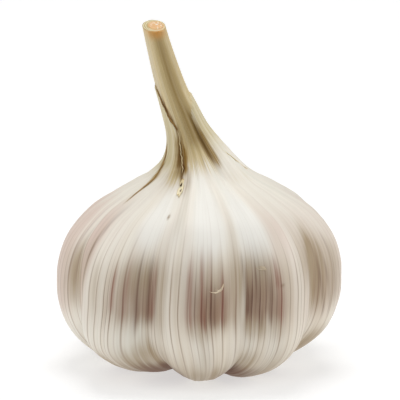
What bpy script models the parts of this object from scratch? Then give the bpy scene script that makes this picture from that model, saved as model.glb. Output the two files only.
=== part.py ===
"""Garlic bulb, as lifted, dried and trimmed: nine cloves in their papery skin, a neck of leaf sheaths
cut short over the flower stalk, and the root plate with its clipped roots underneath.

Metres, +Z up. The origin is on the surface that the bulb stands on, under the middle of its outline.
The front, where the outer sheath is torn open, faces -Y, and the neck leans towards -X.
"""

import math
from collections import namedtuple

import bmesh
import bpy
import numpy as np
from mathutils import Vector

MM = 0.001

GAP = 0.3 * MM  # between one piece and the next

# The outline of a clove's crown in mm, from the rim round the root plate to the cut of the neck, with
# height measured along the bulb's middle line. crease is how far the skin dips beside the clove, as a
# share of the radius, and lift is how far it rises there.
Knot = namedtuple("Knot", "radius height crease lift")
OUTLINE = (
    Knot(7.3, 3.4, 0.02, 0.0),
    Knot(9.2, 1.1, 0.08, 0.7),
    Knot(12.6, -0.2, 0.13, 1.5),
    Knot(19.6, 1.75, 0.155, 1.6),
    Knot(26.2, 7.3, 0.145, 0.8),
    Knot(29.4, 13.8, 0.13, 0.2),
    Knot(30.0, 20.0, 0.12, 0.0),
    Knot(28.2, 27.6, 0.105, 0.0),
    Knot(23.4, 33.7, 0.085, 0.0),
    Knot(16.6, 38.0, 0.07, 0.0),
    Knot(10.4, 41.4, 0.06, 0.0),
    Knot(6.9, 45.0, 0.055, 0.0),
    Knot(4.45, 49.6, 0.04, 0.0),
    Knot(3.35, 56.0, 0.02, 0.0),
    Knot(2.7, 65.0, 0.0, 0.0),
    Knot(2.3, 73.8, 0.0, 0.0),
)
NECK_TOP = OUTLINE[-1].height * MM
ROWS_IN_SPAN = (3, 3, 4, 4, 4, 3, 4, 4, 4, 4, 4, 3, 4, 3, 3)  # rows of faces between two knots

# The cloves, round from the one at the front towards +X. width is in degrees, reach is its crown's
# share of the belly radius, hip fills out its lower part by another share, foot is how far its foot
# is off the ground in mm, and toe is how many degrees its foot is turned towards +X.
Clove = namedtuple("Clove", "width reach hip foot toe")
FIRST_CREASE = -19.8  # degrees from the front
CLOVES = (
    Clove(40.0, 1.00, 0.00, 0.0, 4.0),
    Clove(38.5, 1.00, 0.055, 0.0, 3.0),
    Clove(43.0, 1.00, 0.01, 0.9, 0.0),
    Clove(35.0, 0.98, 0.00, 0.0, -3.0),
    Clove(40.0, 1.00, 0.02, 0.4, 2.0),
    Clove(35.5, 0.97, 0.00, 0.0, 3.0),
    Clove(39.5, 0.99, 0.01, 0.0, -2.0),
    Clove(44.1, 1.01, 0.02, 0.0, 0.0),
    Clove(44.4, 1.025, 0.10, 1.2, -4.0),
)
COLUMNS_IN_CLOVE = 10
CLOVE_FULLNESS = 0.92  # 0 is a parabola across the clove, 1 a half circle

# How far the bulb's middle line leans towards -X, in degrees, at heights along it in mm.
LEAN = (
    (0.0, -2.0),
    (32.0, -2.2),
    (39.0, 6.0),
    (45.0, 16.0),
    (51.0, 19.5),
    (56.0, 21.5),
    (63.0, 17.0),
    (74.0, 13.0),
)
NECK_START = 40.0 * MM
CUT_TILT = math.radians(20.0)  # the cut faces up and to the front
CUT_REACH = 6.0 * MM  # the stretch of neck that the slant of the cut is taken up over

# The outer sheath: a layer on the neck, torn off short, higher at -X, with a tear down its front.
SHEATH_THICKNESS = 0.3 * MM
SHEATH_TOP = 59.5 * MM
SHEATH_SLOPE = 2.2 * MM  # how far its torn top rises towards -X
SHEATH_RAG = 0.6 * MM  # and how far it wavers
TEAR_FOOT = 41.0 * MM
TEAR_LEFT_FOOT, TEAR_LEFT_TOP = -26.0, -88.0  # degrees from the front
TEAR_RIGHT = 20.0
NECK_FOLDS = ((5, 0.045, 0.4), (8, 0.025, 2.1), (13, 0.012, 4.0))  # count round, depth, phase
FOLD_TWIST = 0.35  # radians that the folds turn from the shoulder to the cut

STALK_RADIUS = 1.3 * MM
STALK_OFFSET = 0.3 * MM  # the stalk sits nearer the neck's +X side
STALK_DEPTH = 16.0 * MM
STALK_SIDES = 24
STALK_CROWN = 0.12 * MM  # the pith stands a little proud in the middle of the cut

ROOT_PLATE_TOP = 3.4 * MM - GAP
ROOT_PLATE_RADIUS = 7.3 * MM - GAP
ROOT_PLATE_EDGE = 1.7 * MM  # height of its lower edge
ROOT_PLATE_DISH = 1.1 * MM  # height of its lower face at the middle
ROOT_SIDES = 7
ROOT_RINGS = ((1.9, 5), (4.0, 10), (5.9, 15))  # mm from the middle, roots in the ring
ROOT_RADIUS = 0.5 * MM
ROOT_CLIP = 0.45 * MM  # height of the clipped ends


def smoothstep(low, high, value):
    """0 below low, 1 above high, and a smooth rise between."""
    share = min(1.0, max(0.0, (value - low) / (high - low)))
    return share * share * (3.0 - 2.0 * share)


def mix(a, b, share):
    return a + (b - a) * share


def outline_rows():
    """The outline's values at each row of the bulb's mesh, on a smooth cubic through the knots."""
    knots = np.array(OUTLINE)
    steps = np.hypot(*np.diff(knots[:, :2], axis=0).T)
    along = np.concatenate([[0.0], np.cumsum(steps)])
    slopes = np.gradient(knots, along, axis=0)
    rows = []
    for i, count in enumerate(ROWS_IN_SPAN):
        for k in range(count):
            share = k / count
            span = along[i + 1] - along[i]
            value = (
                (2 * share**3 - 3 * share**2 + 1) * knots[i]
                + (share**3 - 2 * share**2 + share) * span * slopes[i]
                + (3 * share**2 - 2 * share**3) * knots[i + 1]
                + (share**3 - share**2) * span * slopes[i + 1]
            )
            rows.append(Knot(*value))
    rows.append(OUTLINE[-1])
    return rows


def clove_columns():
    """(clove, place across it from -1 to 1, degrees from the front) of each column of the mesh.

    The columns lie closer together at the creases.
    """
    columns = []
    crease = FIRST_CREASE
    for number, clove in enumerate(CLOVES):
        for k in range(COLUMNS_IN_CLOVE):
            across = math.sin(math.pi * (k / COLUMNS_IN_CLOVE - 0.5))
            columns.append((number, across, crease + clove.width * (across + 1) / 2))
        crease += clove.width
    return columns


def swell(across, softness):
    """Height of the clove's back, 0 at its creases and 1 at its crown. Softness rounds the creases."""
    flat = math.sqrt(1 - CLOVE_FULLNESS**2)
    full = (math.sqrt(1 - (CLOVE_FULLNESS * across) ** 2) - flat) / (1 - flat)
    wave = (1 + math.cos(math.pi * across)) / 2
    return mix(full, wave, softness)


def beside(number, across, field):
    """A clove's value, blended with its neighbour's so that both agree at the crease between them."""
    neighbour = CLOVES[(number + (1 if across > 0 else -1)) % len(CLOVES)]
    own = getattr(CLOVES[number], field)
    return mix(own, getattr(neighbour, field), across * across / 2)


def sheath_layer(degrees, height):
    """Thickness of the torn outer sheath at a place on the neck."""
    turn = math.radians(degrees)
    top = SHEATH_TOP - SHEATH_SLOPE * math.sin(turn) + SHEATH_RAG * math.sin(5 * turn + 1.0)
    below_top = 1 - smoothstep(top - 0.5 * MM, top + 0.5 * MM, height)
    rise = max(0.0, (height - TEAR_FOOT) / (SHEATH_TOP + SHEATH_SLOPE - TEAR_FOOT))
    left = mix(TEAR_LEFT_FOOT, TEAR_LEFT_TOP, rise**2.2)
    facing = (degrees + 180) % 360 - 180
    in_tear = smoothstep(left - 3, left + 3, facing) * (1 - smoothstep(-4, 4, facing - TEAR_RIGHT))
    open_here = in_tear * smoothstep(TEAR_FOOT - 2 * MM, TEAR_FOOT + 2 * MM, height)
    started = smoothstep(NECK_START - 4 * MM, NECK_START + 4 * MM, height)
    return SHEATH_THICKNESS * started * below_top * (1 - open_here)


def middle_line():
    """The bulb's middle line: lengths along it, and at each its x, its height and its lean."""
    along = np.linspace(0.0, LEAN[-1][0] + 4.0, 401)
    lean = np.radians(np.interp(along, *zip(*LEAN)))
    steps = np.diff(along, prepend=0.0)
    return along * MM, np.cumsum(-np.sin(lean) * steps) * MM, np.cumsum(np.cos(lean) * steps) * MM, lean


MIDDLE_LINE = middle_line()


def neck_place(x, y, height):
    """Where a point of the upright bulb goes once its middle line leans and the neck is cut on a slant."""
    slant = y * math.tan(CUT_TILT) - x * math.tan(MIDDLE_LINE[3][-1])
    height += slant * smoothstep(NECK_TOP - CUT_REACH, NECK_TOP, height)
    across, up, lean = (float(np.interp(height, MIDDLE_LINE[0], values)) for values in MIDDLE_LINE[1:])
    turn = max(0.0, lean) * smoothstep(NECK_START - 1 * MM, NECK_START + 9 * MM, height)
    return Vector((across + x * math.cos(turn), y, up + x * math.sin(turn)))


def skin_point(row, number, across, degrees):
    """A point of the bulb's skin at one row of the outline and one column."""
    height = row.height * MM
    neck = smoothstep(33.0 * MM, 46.0 * MM, height)
    back = swell(across, mix(0.14, 1.0, neck))
    in_body = smoothstep(8.0, 24.0, row.radius)
    reach = mix(1.0, beside(number, across, "reach"), in_body)
    foot = beside(number, across, "foot") * MM * (1 - smoothstep(3.0, 12.0, row.height))
    low = smoothstep(8.0, 18.0, row.radius) * (1 - smoothstep(1.0, 19.0, row.height))
    reach += beside(number, across, "hip") * low
    radius = row.radius * MM * reach * (1 - row.crease * (1 - back))
    turn = math.radians(degrees + beside(number, across, "toe") * low)
    fold_turn = turn + FOLD_TWIST * neck
    folds = sum(depth * math.cos(count * fold_turn + phase) for count, depth, phase in NECK_FOLDS)
    neck *= 1 - 0.6 * smoothstep(NECK_TOP - 12 * MM, NECK_TOP, height)
    radius = radius * (1 + folds * neck) + sheath_layer(degrees, height)
    height += row.lift * MM * (1 - back) + foot * smoothstep(7.5, 12.0, row.radius)
    return neck_place(radius * math.sin(turn), -radius * math.cos(turn), max(height, 0.0))


def ring_of(radius, height, turns, offset=0.0):
    """A round ring across the neck, one point for each turn."""
    return [
        neck_place(offset + radius * math.sin(turn), -radius * math.cos(turn), height)
        for turn in turns
    ]


def loft(name, rings):
    """An object whose skin runs from ring to ring, closed by a face over the first and the last."""
    mesh = bmesh.new()
    loops = [[mesh.verts.new(point) for point in ring] for ring in rings]
    for lower, upper in zip(loops, loops[1:]):
        for k in range(len(lower)):
            after = (k + 1) % len(lower)
            mesh.faces.new((lower[k], lower[after], upper[after], upper[k]))
    mesh.faces.new(reversed(loops[0]))
    mesh.faces.new(loops[-1])
    bmesh.ops.triangulate(mesh, faces=mesh.faces)
    bmesh.ops.recalc_face_normals(mesh, faces=mesh.faces)
    data = bpy.data.meshes.new(name)
    mesh.to_mesh(data)
    mesh.free()
    made = bpy.data.objects.new(name, data)
    bpy.context.scene.collection.objects.link(made)
    return made


def finish(made, colour, roughness):
    """Gives an object its own material and smooth shading."""
    material = bpy.data.materials.new(made.name)
    material.use_nodes = True
    shader = material.node_tree.nodes["Principled BSDF"]
    shader.inputs["Base Color"].default_value = (*colour, 1.0)
    shader.inputs["Roughness"].default_value = roughness
    shader.inputs["Metallic"].default_value = 0.0
    made.data.materials.append(material)
    made.data.shade_smooth()
    made.data.set_sharp_from_angle(angle=math.radians(50))


def wrapped_bulb():
    """The cloves in their skin and the neck's sheaths, with a recess for the root plate and a bore."""
    columns = clove_columns()
    rings = [[skin_point(row, *column) for column in columns] for row in outline_rows()]
    turns = [math.radians(degrees) for _, _, degrees in columns]
    bore = STALK_RADIUS + GAP
    floor = NECK_TOP - STALK_DEPTH
    for height in (NECK_TOP, NECK_TOP - CUT_REACH / 2, NECK_TOP - CUT_REACH, floor):
        rings.append(ring_of(bore, height, turns, STALK_OFFSET))
    made = loft("wrapped_bulb", rings)
    finish(made, (0.80, 0.74, 0.66), 0.45)
    return made


def flower_stalk():
    """The stalk inside the sheaths, cut flush with them, its pith a little proud."""
    turns = [2 * math.pi * k / STALK_SIDES for k in range(STALK_SIDES)]
    foot = NECK_TOP - STALK_DEPTH + GAP
    heights = (foot, NECK_TOP - CUT_REACH, NECK_TOP - CUT_REACH / 2, NECK_TOP)
    rings = [ring_of(STALK_RADIUS, height, turns, STALK_OFFSET) for height in heights]
    pith = NECK_TOP + STALK_CROWN
    rings.append(ring_of(STALK_RADIUS * 0.62, pith, turns, STALK_OFFSET))
    made = loft("flower_stalk", rings)
    finish(made, (0.78, 0.56, 0.36), 0.7)
    return made


def clipped_root(index, x, y):
    """One root, sunk well into the plate and clipped off near the ground, leaning a little outwards."""
    turns = [2 * math.pi * k / ROOT_SIDES + index for k in range(ROOT_SIDES)]
    rings = []
    for height, size, spread in ((2.4 * MM, 1.15, 0.97), (ROOT_CLIP, 1.0, 1.03)):
        centre = Vector((x * spread, y * spread, height))
        radius = ROOT_RADIUS * size
        rings.append([centre + Vector((math.cos(turn), math.sin(turn), 0.0)) * radius for turn in turns])
    return loft(f"root_{index}", rings)


def root_plate():
    """The low disc of old stem that the cloves and the roots grow from, with the roots clipped short."""
    turns = [2 * math.pi * k / 48 for k in range(48)]
    outline = (
        (ROOT_PLATE_RADIUS * 0.3, ROOT_PLATE_DISH),
        (ROOT_PLATE_RADIUS * 0.72, mix(ROOT_PLATE_DISH, ROOT_PLATE_EDGE, 0.35)),
        (ROOT_PLATE_RADIUS * 0.95, ROOT_PLATE_EDGE),
        (ROOT_PLATE_RADIUS, ROOT_PLATE_EDGE + 0.5 * MM),
        (ROOT_PLATE_RADIUS, ROOT_PLATE_TOP),
    )
    made = loft("root_plate", [ring_of(radius, height, turns) for radius, height in outline])
    roots = bpy.data.collections.new("roots")
    index = 0
    for ring, (distance, count) in enumerate(ROOT_RINGS):
        for k in range(count):
            turn = 2 * math.pi * (k + 0.37 * ring) / count
            root = clipped_root(index, distance * MM * math.cos(turn), distance * MM * math.sin(turn))
            bpy.context.scene.collection.objects.unlink(root)
            roots.objects.link(root)
            index += 1
    join = made.modifiers.new("join_roots", "BOOLEAN")
    join.operation = "UNION"
    join.operand_type = "COLLECTION"
    join.collection = roots
    join.solver = "EXACT"
    with bpy.context.temp_override(object=made, active_object=made, selected_objects=[made]):
        bpy.ops.object.modifier_apply(modifier=join.name)
    for root in list(roots.objects):
        bpy.data.objects.remove(root)
    bpy.data.collections.remove(roots)
    finish(made, (0.50, 0.38, 0.25), 0.85)
    return made


def centre_on_outline(pieces):
    """Moves the pieces so that the middle of their common outline stands over the origin."""
    points = [vertex.co for piece in pieces for vertex in piece.data.vertices]
    for axis in (0, 1):
        values = [point[axis] for point in points]
        middle = (min(values) + max(values)) / 2
        for point in points:
            point[axis] -= middle


def main():
    for old in list(bpy.data.objects):
        bpy.data.objects.remove(old)
    centre_on_outline([wrapped_bulb(), flower_stalk(), root_plate()])


main()
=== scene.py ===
"""The looks of a garlic bulb: its veined papery skin, torn neck sheath, cut stalk and clipped roots.

Metres, +Z up. The front, where the outer sheath is torn open, faces -Y and the neck leans towards -X.
Lengths named in millimetres say so, and angles round the bulb are in degrees from the front towards +X.
"""

import logging
import math
from collections.abc import Callable
from dataclasses import dataclass, field
from enum import Enum

import bpy
import numpy as np
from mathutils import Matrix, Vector


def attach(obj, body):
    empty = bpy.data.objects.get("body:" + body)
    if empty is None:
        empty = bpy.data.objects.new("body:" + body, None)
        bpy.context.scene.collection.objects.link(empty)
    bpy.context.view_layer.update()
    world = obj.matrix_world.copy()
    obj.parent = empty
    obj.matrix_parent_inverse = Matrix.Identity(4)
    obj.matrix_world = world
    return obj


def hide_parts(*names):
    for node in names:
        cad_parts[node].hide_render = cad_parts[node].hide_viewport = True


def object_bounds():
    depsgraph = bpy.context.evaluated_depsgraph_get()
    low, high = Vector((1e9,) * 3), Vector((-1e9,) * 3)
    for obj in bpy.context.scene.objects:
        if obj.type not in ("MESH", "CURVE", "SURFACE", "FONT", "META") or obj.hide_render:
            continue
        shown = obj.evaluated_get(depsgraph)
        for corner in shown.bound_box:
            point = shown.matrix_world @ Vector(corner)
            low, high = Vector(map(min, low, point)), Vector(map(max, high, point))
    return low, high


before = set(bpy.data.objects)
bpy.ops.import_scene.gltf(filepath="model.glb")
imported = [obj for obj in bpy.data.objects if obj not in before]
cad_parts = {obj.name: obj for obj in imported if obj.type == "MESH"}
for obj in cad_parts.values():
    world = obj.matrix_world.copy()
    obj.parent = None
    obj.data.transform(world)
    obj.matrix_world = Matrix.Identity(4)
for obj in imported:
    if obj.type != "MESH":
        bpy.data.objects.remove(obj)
CAD_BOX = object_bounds()

MM = 0.001
SEED = 11
ROOT_BODY = "root"
SURFACE_MAP = "UVMap"

# A face whose normal's rise is more than this counts as the flat end of a cylinder.
LEVEL = 0.9
LOG = logging.getLogger("garlic")

Colour = tuple[float, float, float]
Array = np.ndarray


def smoothstep(low: float | Array, high: float | Array, value: Array) -> Array:
    """Share from 0 to 1, with no corner, as a value goes from low to high."""
    share = np.clip((value - low) / (high - low), 0.0, 1.0)
    return share * share * (3.0 - 2.0 * share)


def window(value: Array, start: float, full: float, fade: float, end: float) -> Array:
    """Rise from 0 to 1 over start..full, and fall back over fade..end."""
    return smoothstep(start, full, value) * (1.0 - smoothstep(fade, end, value))


def bell(away: Array, spread: float | Array) -> Array:
    """1 in the middle, falling off to both sides over a spread."""
    return np.exp(-((away / spread) ** 2))


def mix(a: float | Array, b: float | Array, share: float | Array) -> Array:
    """Go from a to b by a share."""
    return a + (b - a) * share


def from_front(degrees: Array) -> Array:
    """The same angles, counted from -180 to 180."""
    return (degrees + 180) % 360 - 180


# ---- Form: the same named sizes and formulas as the solids, in numpy ----


class SmoothCurve:
    """A smooth cubic through rows of values, read by the distance along it."""

    def __init__(self, along: Array, values: Array) -> None:
        """Fit the cubic.

        Args:
            along: rising distances, one for each row.
            values: rows of numbers.
        """
        self.along = np.asarray(along, float)
        self.values = np.asarray(values, float)
        self.slopes = np.gradient(self.values, self.along, axis=0)

    def __call__(self, where: float | Array) -> Array:
        """Read the values, in the last axis, at distances along the curve.

        Args:
            where: distances along the curve.

        Returns:
            The values, in the last axis.
        """
        where = np.clip(np.asarray(where, float), self.along[0], self.along[-1])
        span = np.clip(np.searchsorted(self.along, where, side="right") - 1, 0, len(self.along) - 2)
        width = (self.along[span + 1] - self.along[span])[..., None]
        t = (where - self.along[span])[..., None] / width
        return (
            (2 * t**3 - 3 * t**2 + 1) * self.values[span]
            + (t**3 - 2 * t**2 + t) * width * self.slopes[span]
            + (3 * t**2 - 2 * t**3) * self.values[span + 1]
            + (t**3 - t**2) * width * self.slopes[span + 1]
        )


class SkinLine:
    """A line up the skin: its angle in degrees at heights along the middle line in mm."""

    def __init__(self, *places: tuple[float, float]) -> None:
        """Run the line through places on the skin.

        Args:
            places: (height, degrees), from the lowest up.
        """
        table = np.array(places)
        self.low, self.high = places[0][0], places[-1][0]
        self.curve = SmoothCurve(table[:, 0], table[:, 1:])

    def at(self, height: float | Array) -> Array:
        """The line's angle at heights in mm."""
        return self.curve(height)[..., 0]

    def height_at(self, degrees: Array) -> Array:
        """Height in mm at an angle, for a line whose angle falls all the way up."""
        heights = np.linspace(self.low, self.high, 120)
        return np.interp(-degrees, -np.minimum.accumulate(self.at(heights)), heights)

    def near(self, height: Array, degrees: Array, spread: float | Array) -> Array:
        """1 on the line, falling off over an angle, and 0 above and below its ends."""
        beside = bell(from_front(degrees) - self.at(height), spread)
        return beside * window(height, self.low - 0.8, self.low + 0.8, self.high - 0.8, self.high + 0.8)


TEAR_LEFT = SkinLine(
    (39.4, -18.0), (41.0, -20.2), (43.3, -22.4), (46.0, -25.5), (48.7, -27.6), (51.7, -26.8),
    (53.6, -32.5), (55.6, -51.0), (58.0, -65.0), (60.4, -74.0), (62.4, -92.0),
)
TEAR_RIGHT = SkinLine((42.0, 31.0), (47.0, 30.0), (51.0, 31.0), (54.0, 35.0), (56.2, 58.0), (57.6, 92.0))
NECK_VALLEY = SkinLine((41.8, 31.0), (47.0, 29.8), (52.0, 31.0), (57.8, 22.5), (62.0, 15.0), (72.0, 17.0))
LEFT_MARGIN = SkinLine(
    (36.6, -59.6), (37.7, -60.2), (39.1, -61.0), (40.1, -62.6), (41.9, -66.5), (44.4, -74.0), (49.6, -85.0)
)
RIGHT_MARGIN = SkinLine((40.6, 104.0), (41.7, 93.6), (45.1, 66.0), (47.5, 52.0))


class Tone(Enum):
    """What a patch or a streak of skin is tinted with."""

    TAN = "tan"
    MAUVE = "mauve"
    # Painted light: highlights on the shoulder, and the lit left side of the neck.
    PALE = "pale"
    RED = "red"
    BROWN = "brown"
    DARK = "dark"
    GOLD = "gold"


@dataclass(frozen=True)
class Patch:
    """A soft-edged tinted patch: height in mm, degrees, half its tall and wide sizes, and its strength.

    crisp is how fast it falls off at its edge.
    """

    height: float
    degrees: float
    tall: float
    wide: float
    strength: float
    tone: Tone = Tone.TAN
    crisp: float = 1.3

    def over(self, height: Array, facing: Array) -> Array:
        """The patch's strength at places on the skin."""
        away = ((height - self.height) / self.tall) ** 2 + ((facing - self.degrees) / self.wide) ** 2
        return self.strength * np.exp(-(away**self.crisp))


@dataclass(frozen=True)
class Streak:
    """A coloured stretch of vein from its foot to its head, each (degrees, mm), and half its width."""

    foot: tuple[float, float]
    head: tuple[float, float]
    wide: float
    strength: float
    tone: Tone = Tone.RED

    def over(self, height: Array, facing: Array) -> Array:
        """The streak's strength at places on the skin.

        Args:
            height: in mm.
            facing: degrees from the front, from -180 to 180.

        Returns:
            Its strength there.
        """
        share = (height - self.foot[1]) / (self.head[1] - self.foot[1])
        beside = bell(facing - mix(self.foot[0], self.head[0], share), self.wide)
        return self.strength * beside * window(share, -0.12, 0.16, 0.62, 1.12)


STREAKS = (
    Streak((-36.8, 17.5), (-36.2, 27.5), 1.3, 0.45),
    Streak((-31.6, 16.0), (-30.8, 28.5), 1.0, 0.50),
    Streak((-26.8, 13.0), (-26.2, 31.0), 0.8, 0.50, Tone.BROWN),
    Streak((-22.3, 15.5), (-22.0, 30.0), 0.9, 0.50, Tone.BROWN),
    Streak((-20.7, 16.5), (-20.4, 28.5), 1.0, 0.70),
    Streak((-4.2, 15.0), (-4.8, 30.5), 1.3, 0.55),
    Streak((1.5, 15.0), (0.1, 31.0), 0.9, 1.00),
    Streak((4.9, 15.5), (4.2, 24.5), 1.7, 0.50, Tone.BROWN),
    Streak((3.7, 21.0), (3.3, 31.5), 0.8, 0.45),
    Streak((9.1, 16.0), (8.2, 28.5), 1.2, 0.45),
    Streak((20.9, 17.0), (18.2, 30.0), 1.0, 0.60, Tone.BROWN),
    Streak((25.9, 14.5), (23.4, 29.0), 0.8, 0.55, Tone.BROWN),
    Streak((29.7, 15.0), (29.0, 27.0), 0.8, 0.50, Tone.BROWN),
    Streak((34.2, 15.0), (32.6, 28.5), 1.3, 0.55),
    Streak((31.8, 22.5), (31.2, 29.0), 0.9, 0.40),
    Streak((66.5, 13.0), (59.0, 31.0), 0.8, 0.45, Tone.BROWN),
    Streak((70.0, 13.0), (63.5, 30.0), 0.7, 0.35, Tone.BROWN),
    Streak((73.5, 14.0), (68.5, 33.0), 0.7, 0.40, Tone.BROWN),
    Streak((-73.5, 19.0), (-68.0, 37.0), 0.8, 0.30, Tone.BROWN),
    Streak((-68.0, 20.0), (-64.5, 36.0), 0.8, 0.30, Tone.BROWN),
    Streak((-62.5, 22.0), (-58.5, 37.0), 0.9, 0.30, Tone.BROWN),
    Streak((-58.0, 19.0), (-53.0, 37.0), 1.1, 0.38, Tone.BROWN),
    Streak((-55.0, 27.0), (-51.5, 37.0), 0.7, 0.30, Tone.BROWN),
    Streak((96.0, 14.0), (95.0, 29.0), 1.2, 0.50),
    Streak((118.0, 16.0), (116.5, 29.0), 0.9, 0.45, Tone.BROWN),
    Streak((131.0, 14.0), (130.0, 30.0), 1.2, 0.80),
    Streak((148.0, 15.0), (149.0, 29.0), 1.2, 0.50),
    Streak((165.0, 15.0), (164.0, 28.0), 0.9, 0.45, Tone.BROWN),
    Streak((-175.0, 14.0), (-174.0, 31.0), 1.2, 0.70),
    Streak((-152.0, 15.0), (-153.0, 29.0), 0.9, 0.45, Tone.BROWN),
    Streak((-133.0, 15.0), (-132.0, 29.0), 1.2, 0.60),
    Streak((-101.0, 16.0), (-100.0, 28.0), 1.2, 0.40),
)

PATCHES = (
    # The first six patches darken the skin beside the creases between the flank cloves: painted shade.
    Patch(28.0, -58.0, 8.0, 6.5, 0.50, Tone.MAUVE),
    Patch(26.5, -57.0, 7.0, 4.5, 0.28),
    Patch(23.0, -67.5, 6.5, 5.0, 0.42),
    Patch(25.5, 57.5, 6.0, 5.0, 0.40, Tone.TAN, 1.0),
    Patch(22.0, 59.0, 7.5, 7.5, 0.42),
    Patch(30.0, 61.0, 4.5, 8.0, 0.30),
    Patch(23.0, 72.0, 8.0, 6.0, 0.28),
    Patch(37.5, -13.0, 5.0, 4.0, 0.26),
    Patch(42.2, -26.0, 3.0, 13.0, 0.42),
    Patch(42.4, -44.0, 3.0, 12.0, 0.30),
    Patch(42.0, -13.0, 2.5, 5.0, 0.30),
    Patch(28.0, -12.0, 9.0, 5.0, 0.16),
    Patch(24.0, 15.0, 9.0, 3.6, 0.42),
    Patch(36.0, 15.0, 4.0, 2.5, 0.16),
    # Painted shade beside the crease on the front clove's left.
    Patch(20.0, -17.5, 12.0, 2.2, 0.20),
    Patch(14.0, 23.5, 3.5, 4.5, 0.42),
    Patch(22.0, -45.0, 6.0, 3.0, 0.22),
    Patch(28.0, 48.0, 7.0, 4.0, 0.30),
    Patch(14.5, 0.0, 3.2, 5.5, 0.35),
    Patch(4.5, -25.0, 5.0, 8.0, 0.30),
    Patch(2.0, 2.0, 3.5, 9.0, 0.30),
    Patch(8.5, 0.5, 4.0, 3.0, 0.26),
    Patch(24.5, -27.5, 4.5, 7.5, 0.30),
    Patch(25.0, 24.0, 4.5, 6.5, 0.20),
    Patch(29.0, 2.0, 3.0, 5.0, 0.12),
    Patch(5.0, 23.0, 3.6, 4.0, 0.25),
    Patch(33.5, 39.0, 5.5, 6.0, 0.24, Tone.MAUVE),
    Patch(33.0, -44.0, 5.0, 5.0, 0.20, Tone.MAUVE),
    # Painted highlights on the shoulder, and painted light on the neck's lit left side.
    Patch(35.5, 3.5, 7.0, 9.0, 0.80, Tone.PALE, 2.6),
    Patch(34.0, 25.5, 6.5, 8.0, 0.85, Tone.PALE, 2.6),
    Patch(35.0, -26.5, 5.0, 6.8, 0.75, Tone.PALE, 2.6),
    Patch(33.5, -13.0, 3.0, 4.0, 0.30, Tone.PALE, 2.0),
    Patch(66.0, -64.0, 8.0, 18.0, 0.75, Tone.PALE, 2.0),
    Patch(35.9, -20.3, 0.40, 0.8, 0.70, Tone.DARK, 1.5),
    Patch(22.9, 34.4, 0.40, 0.8, 0.45, Tone.DARK, 1.5),
    Patch(43.9, -21.2, 0.7, 1.1, 0.80, Tone.DARK, 1.5),
    Patch(48.0, -10.0, 2.6, 4.0, 0.32, Tone.GOLD, 1.5),
    Patch(44.3, -15.5, 1.4, 2.4, 0.35, Tone.GOLD, 1.5),
    Patch(44.2, 32.5, 1.4, 3.0, 0.25, Tone.GOLD, 1.5),
    Patch(52.3, -24.0, 0.9, 4.0, 0.50, Tone.GOLD, 1.5),
    Patch(56.6, -42.0, 0.8, 14.0, 0.45, Tone.GOLD, 2.0),
    Patch(46.6, -17.0, 1.7, 4.0, 0.75, Tone.GOLD, 1.5),
    Patch(45.7, -30.0, 1.8, 3.6, 0.55, Tone.GOLD, 1.5),
    Patch(2.0, -27.0, 2.2, 6.0, 0.45, Tone.BROWN),
    Patch(1.5, 30.0, 2.2, 4.0, 0.40, Tone.BROWN),
    Patch(2.5, -45.0, 3.0, 5.0, 0.30),
    Patch(10.0, 51.0, 3.2, 3.0, 0.45),
    Patch(6.5, 71.0, 4.0, 9.0, 0.50),
    Patch(9.5, -23.5, 3.8, 4.0, 0.35),
    Patch(13.5, 32.0, 3.2, 4.5, 0.26),
    # Painted shade in the creases either side of the front clove.
    Patch(20.0, 21.3, 3.6, 1.7, 0.65, Tone.BROWN),
    Patch(21.0, -20.4, 5.0, 1.4, 0.35, Tone.BROWN),
)


@dataclass(frozen=True)
class Knot:
    """One level of a clove's outline: sizes in mm, and the crease as a share of the radius."""

    radius: float
    height: float
    crease: float
    lift: float


@dataclass(frozen=True)
class Blush:
    """Where a clove's belly is coloured, across it from -1 to 1, and how deeply, from 0 to 1."""

    depth: float
    start: float = -0.65
    full: float = 0.10
    fade: float = 0.30
    end: float = 1.0

    def over(self, across: Array) -> Array:
        """Depth of the colour at places across the clove."""
        return self.depth * window(across, self.start, self.full, self.fade, self.end)


@dataclass(frozen=True)
class Clove:
    """One clove: its width in degrees, its form, and how its skin is coloured.

    reach, hip, foot and toe are the solid's. pink is how rosy the skin is and brown how tan its foot is,
    from 0 to 1. veins gives the places across it of the main veins where they are known.
    """

    width: float
    reach: float
    hip: float
    foot: float
    toe: float
    blush: Blush
    pink: float
    brown: float = 0.5
    veins: tuple[float, ...] = ()


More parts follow.
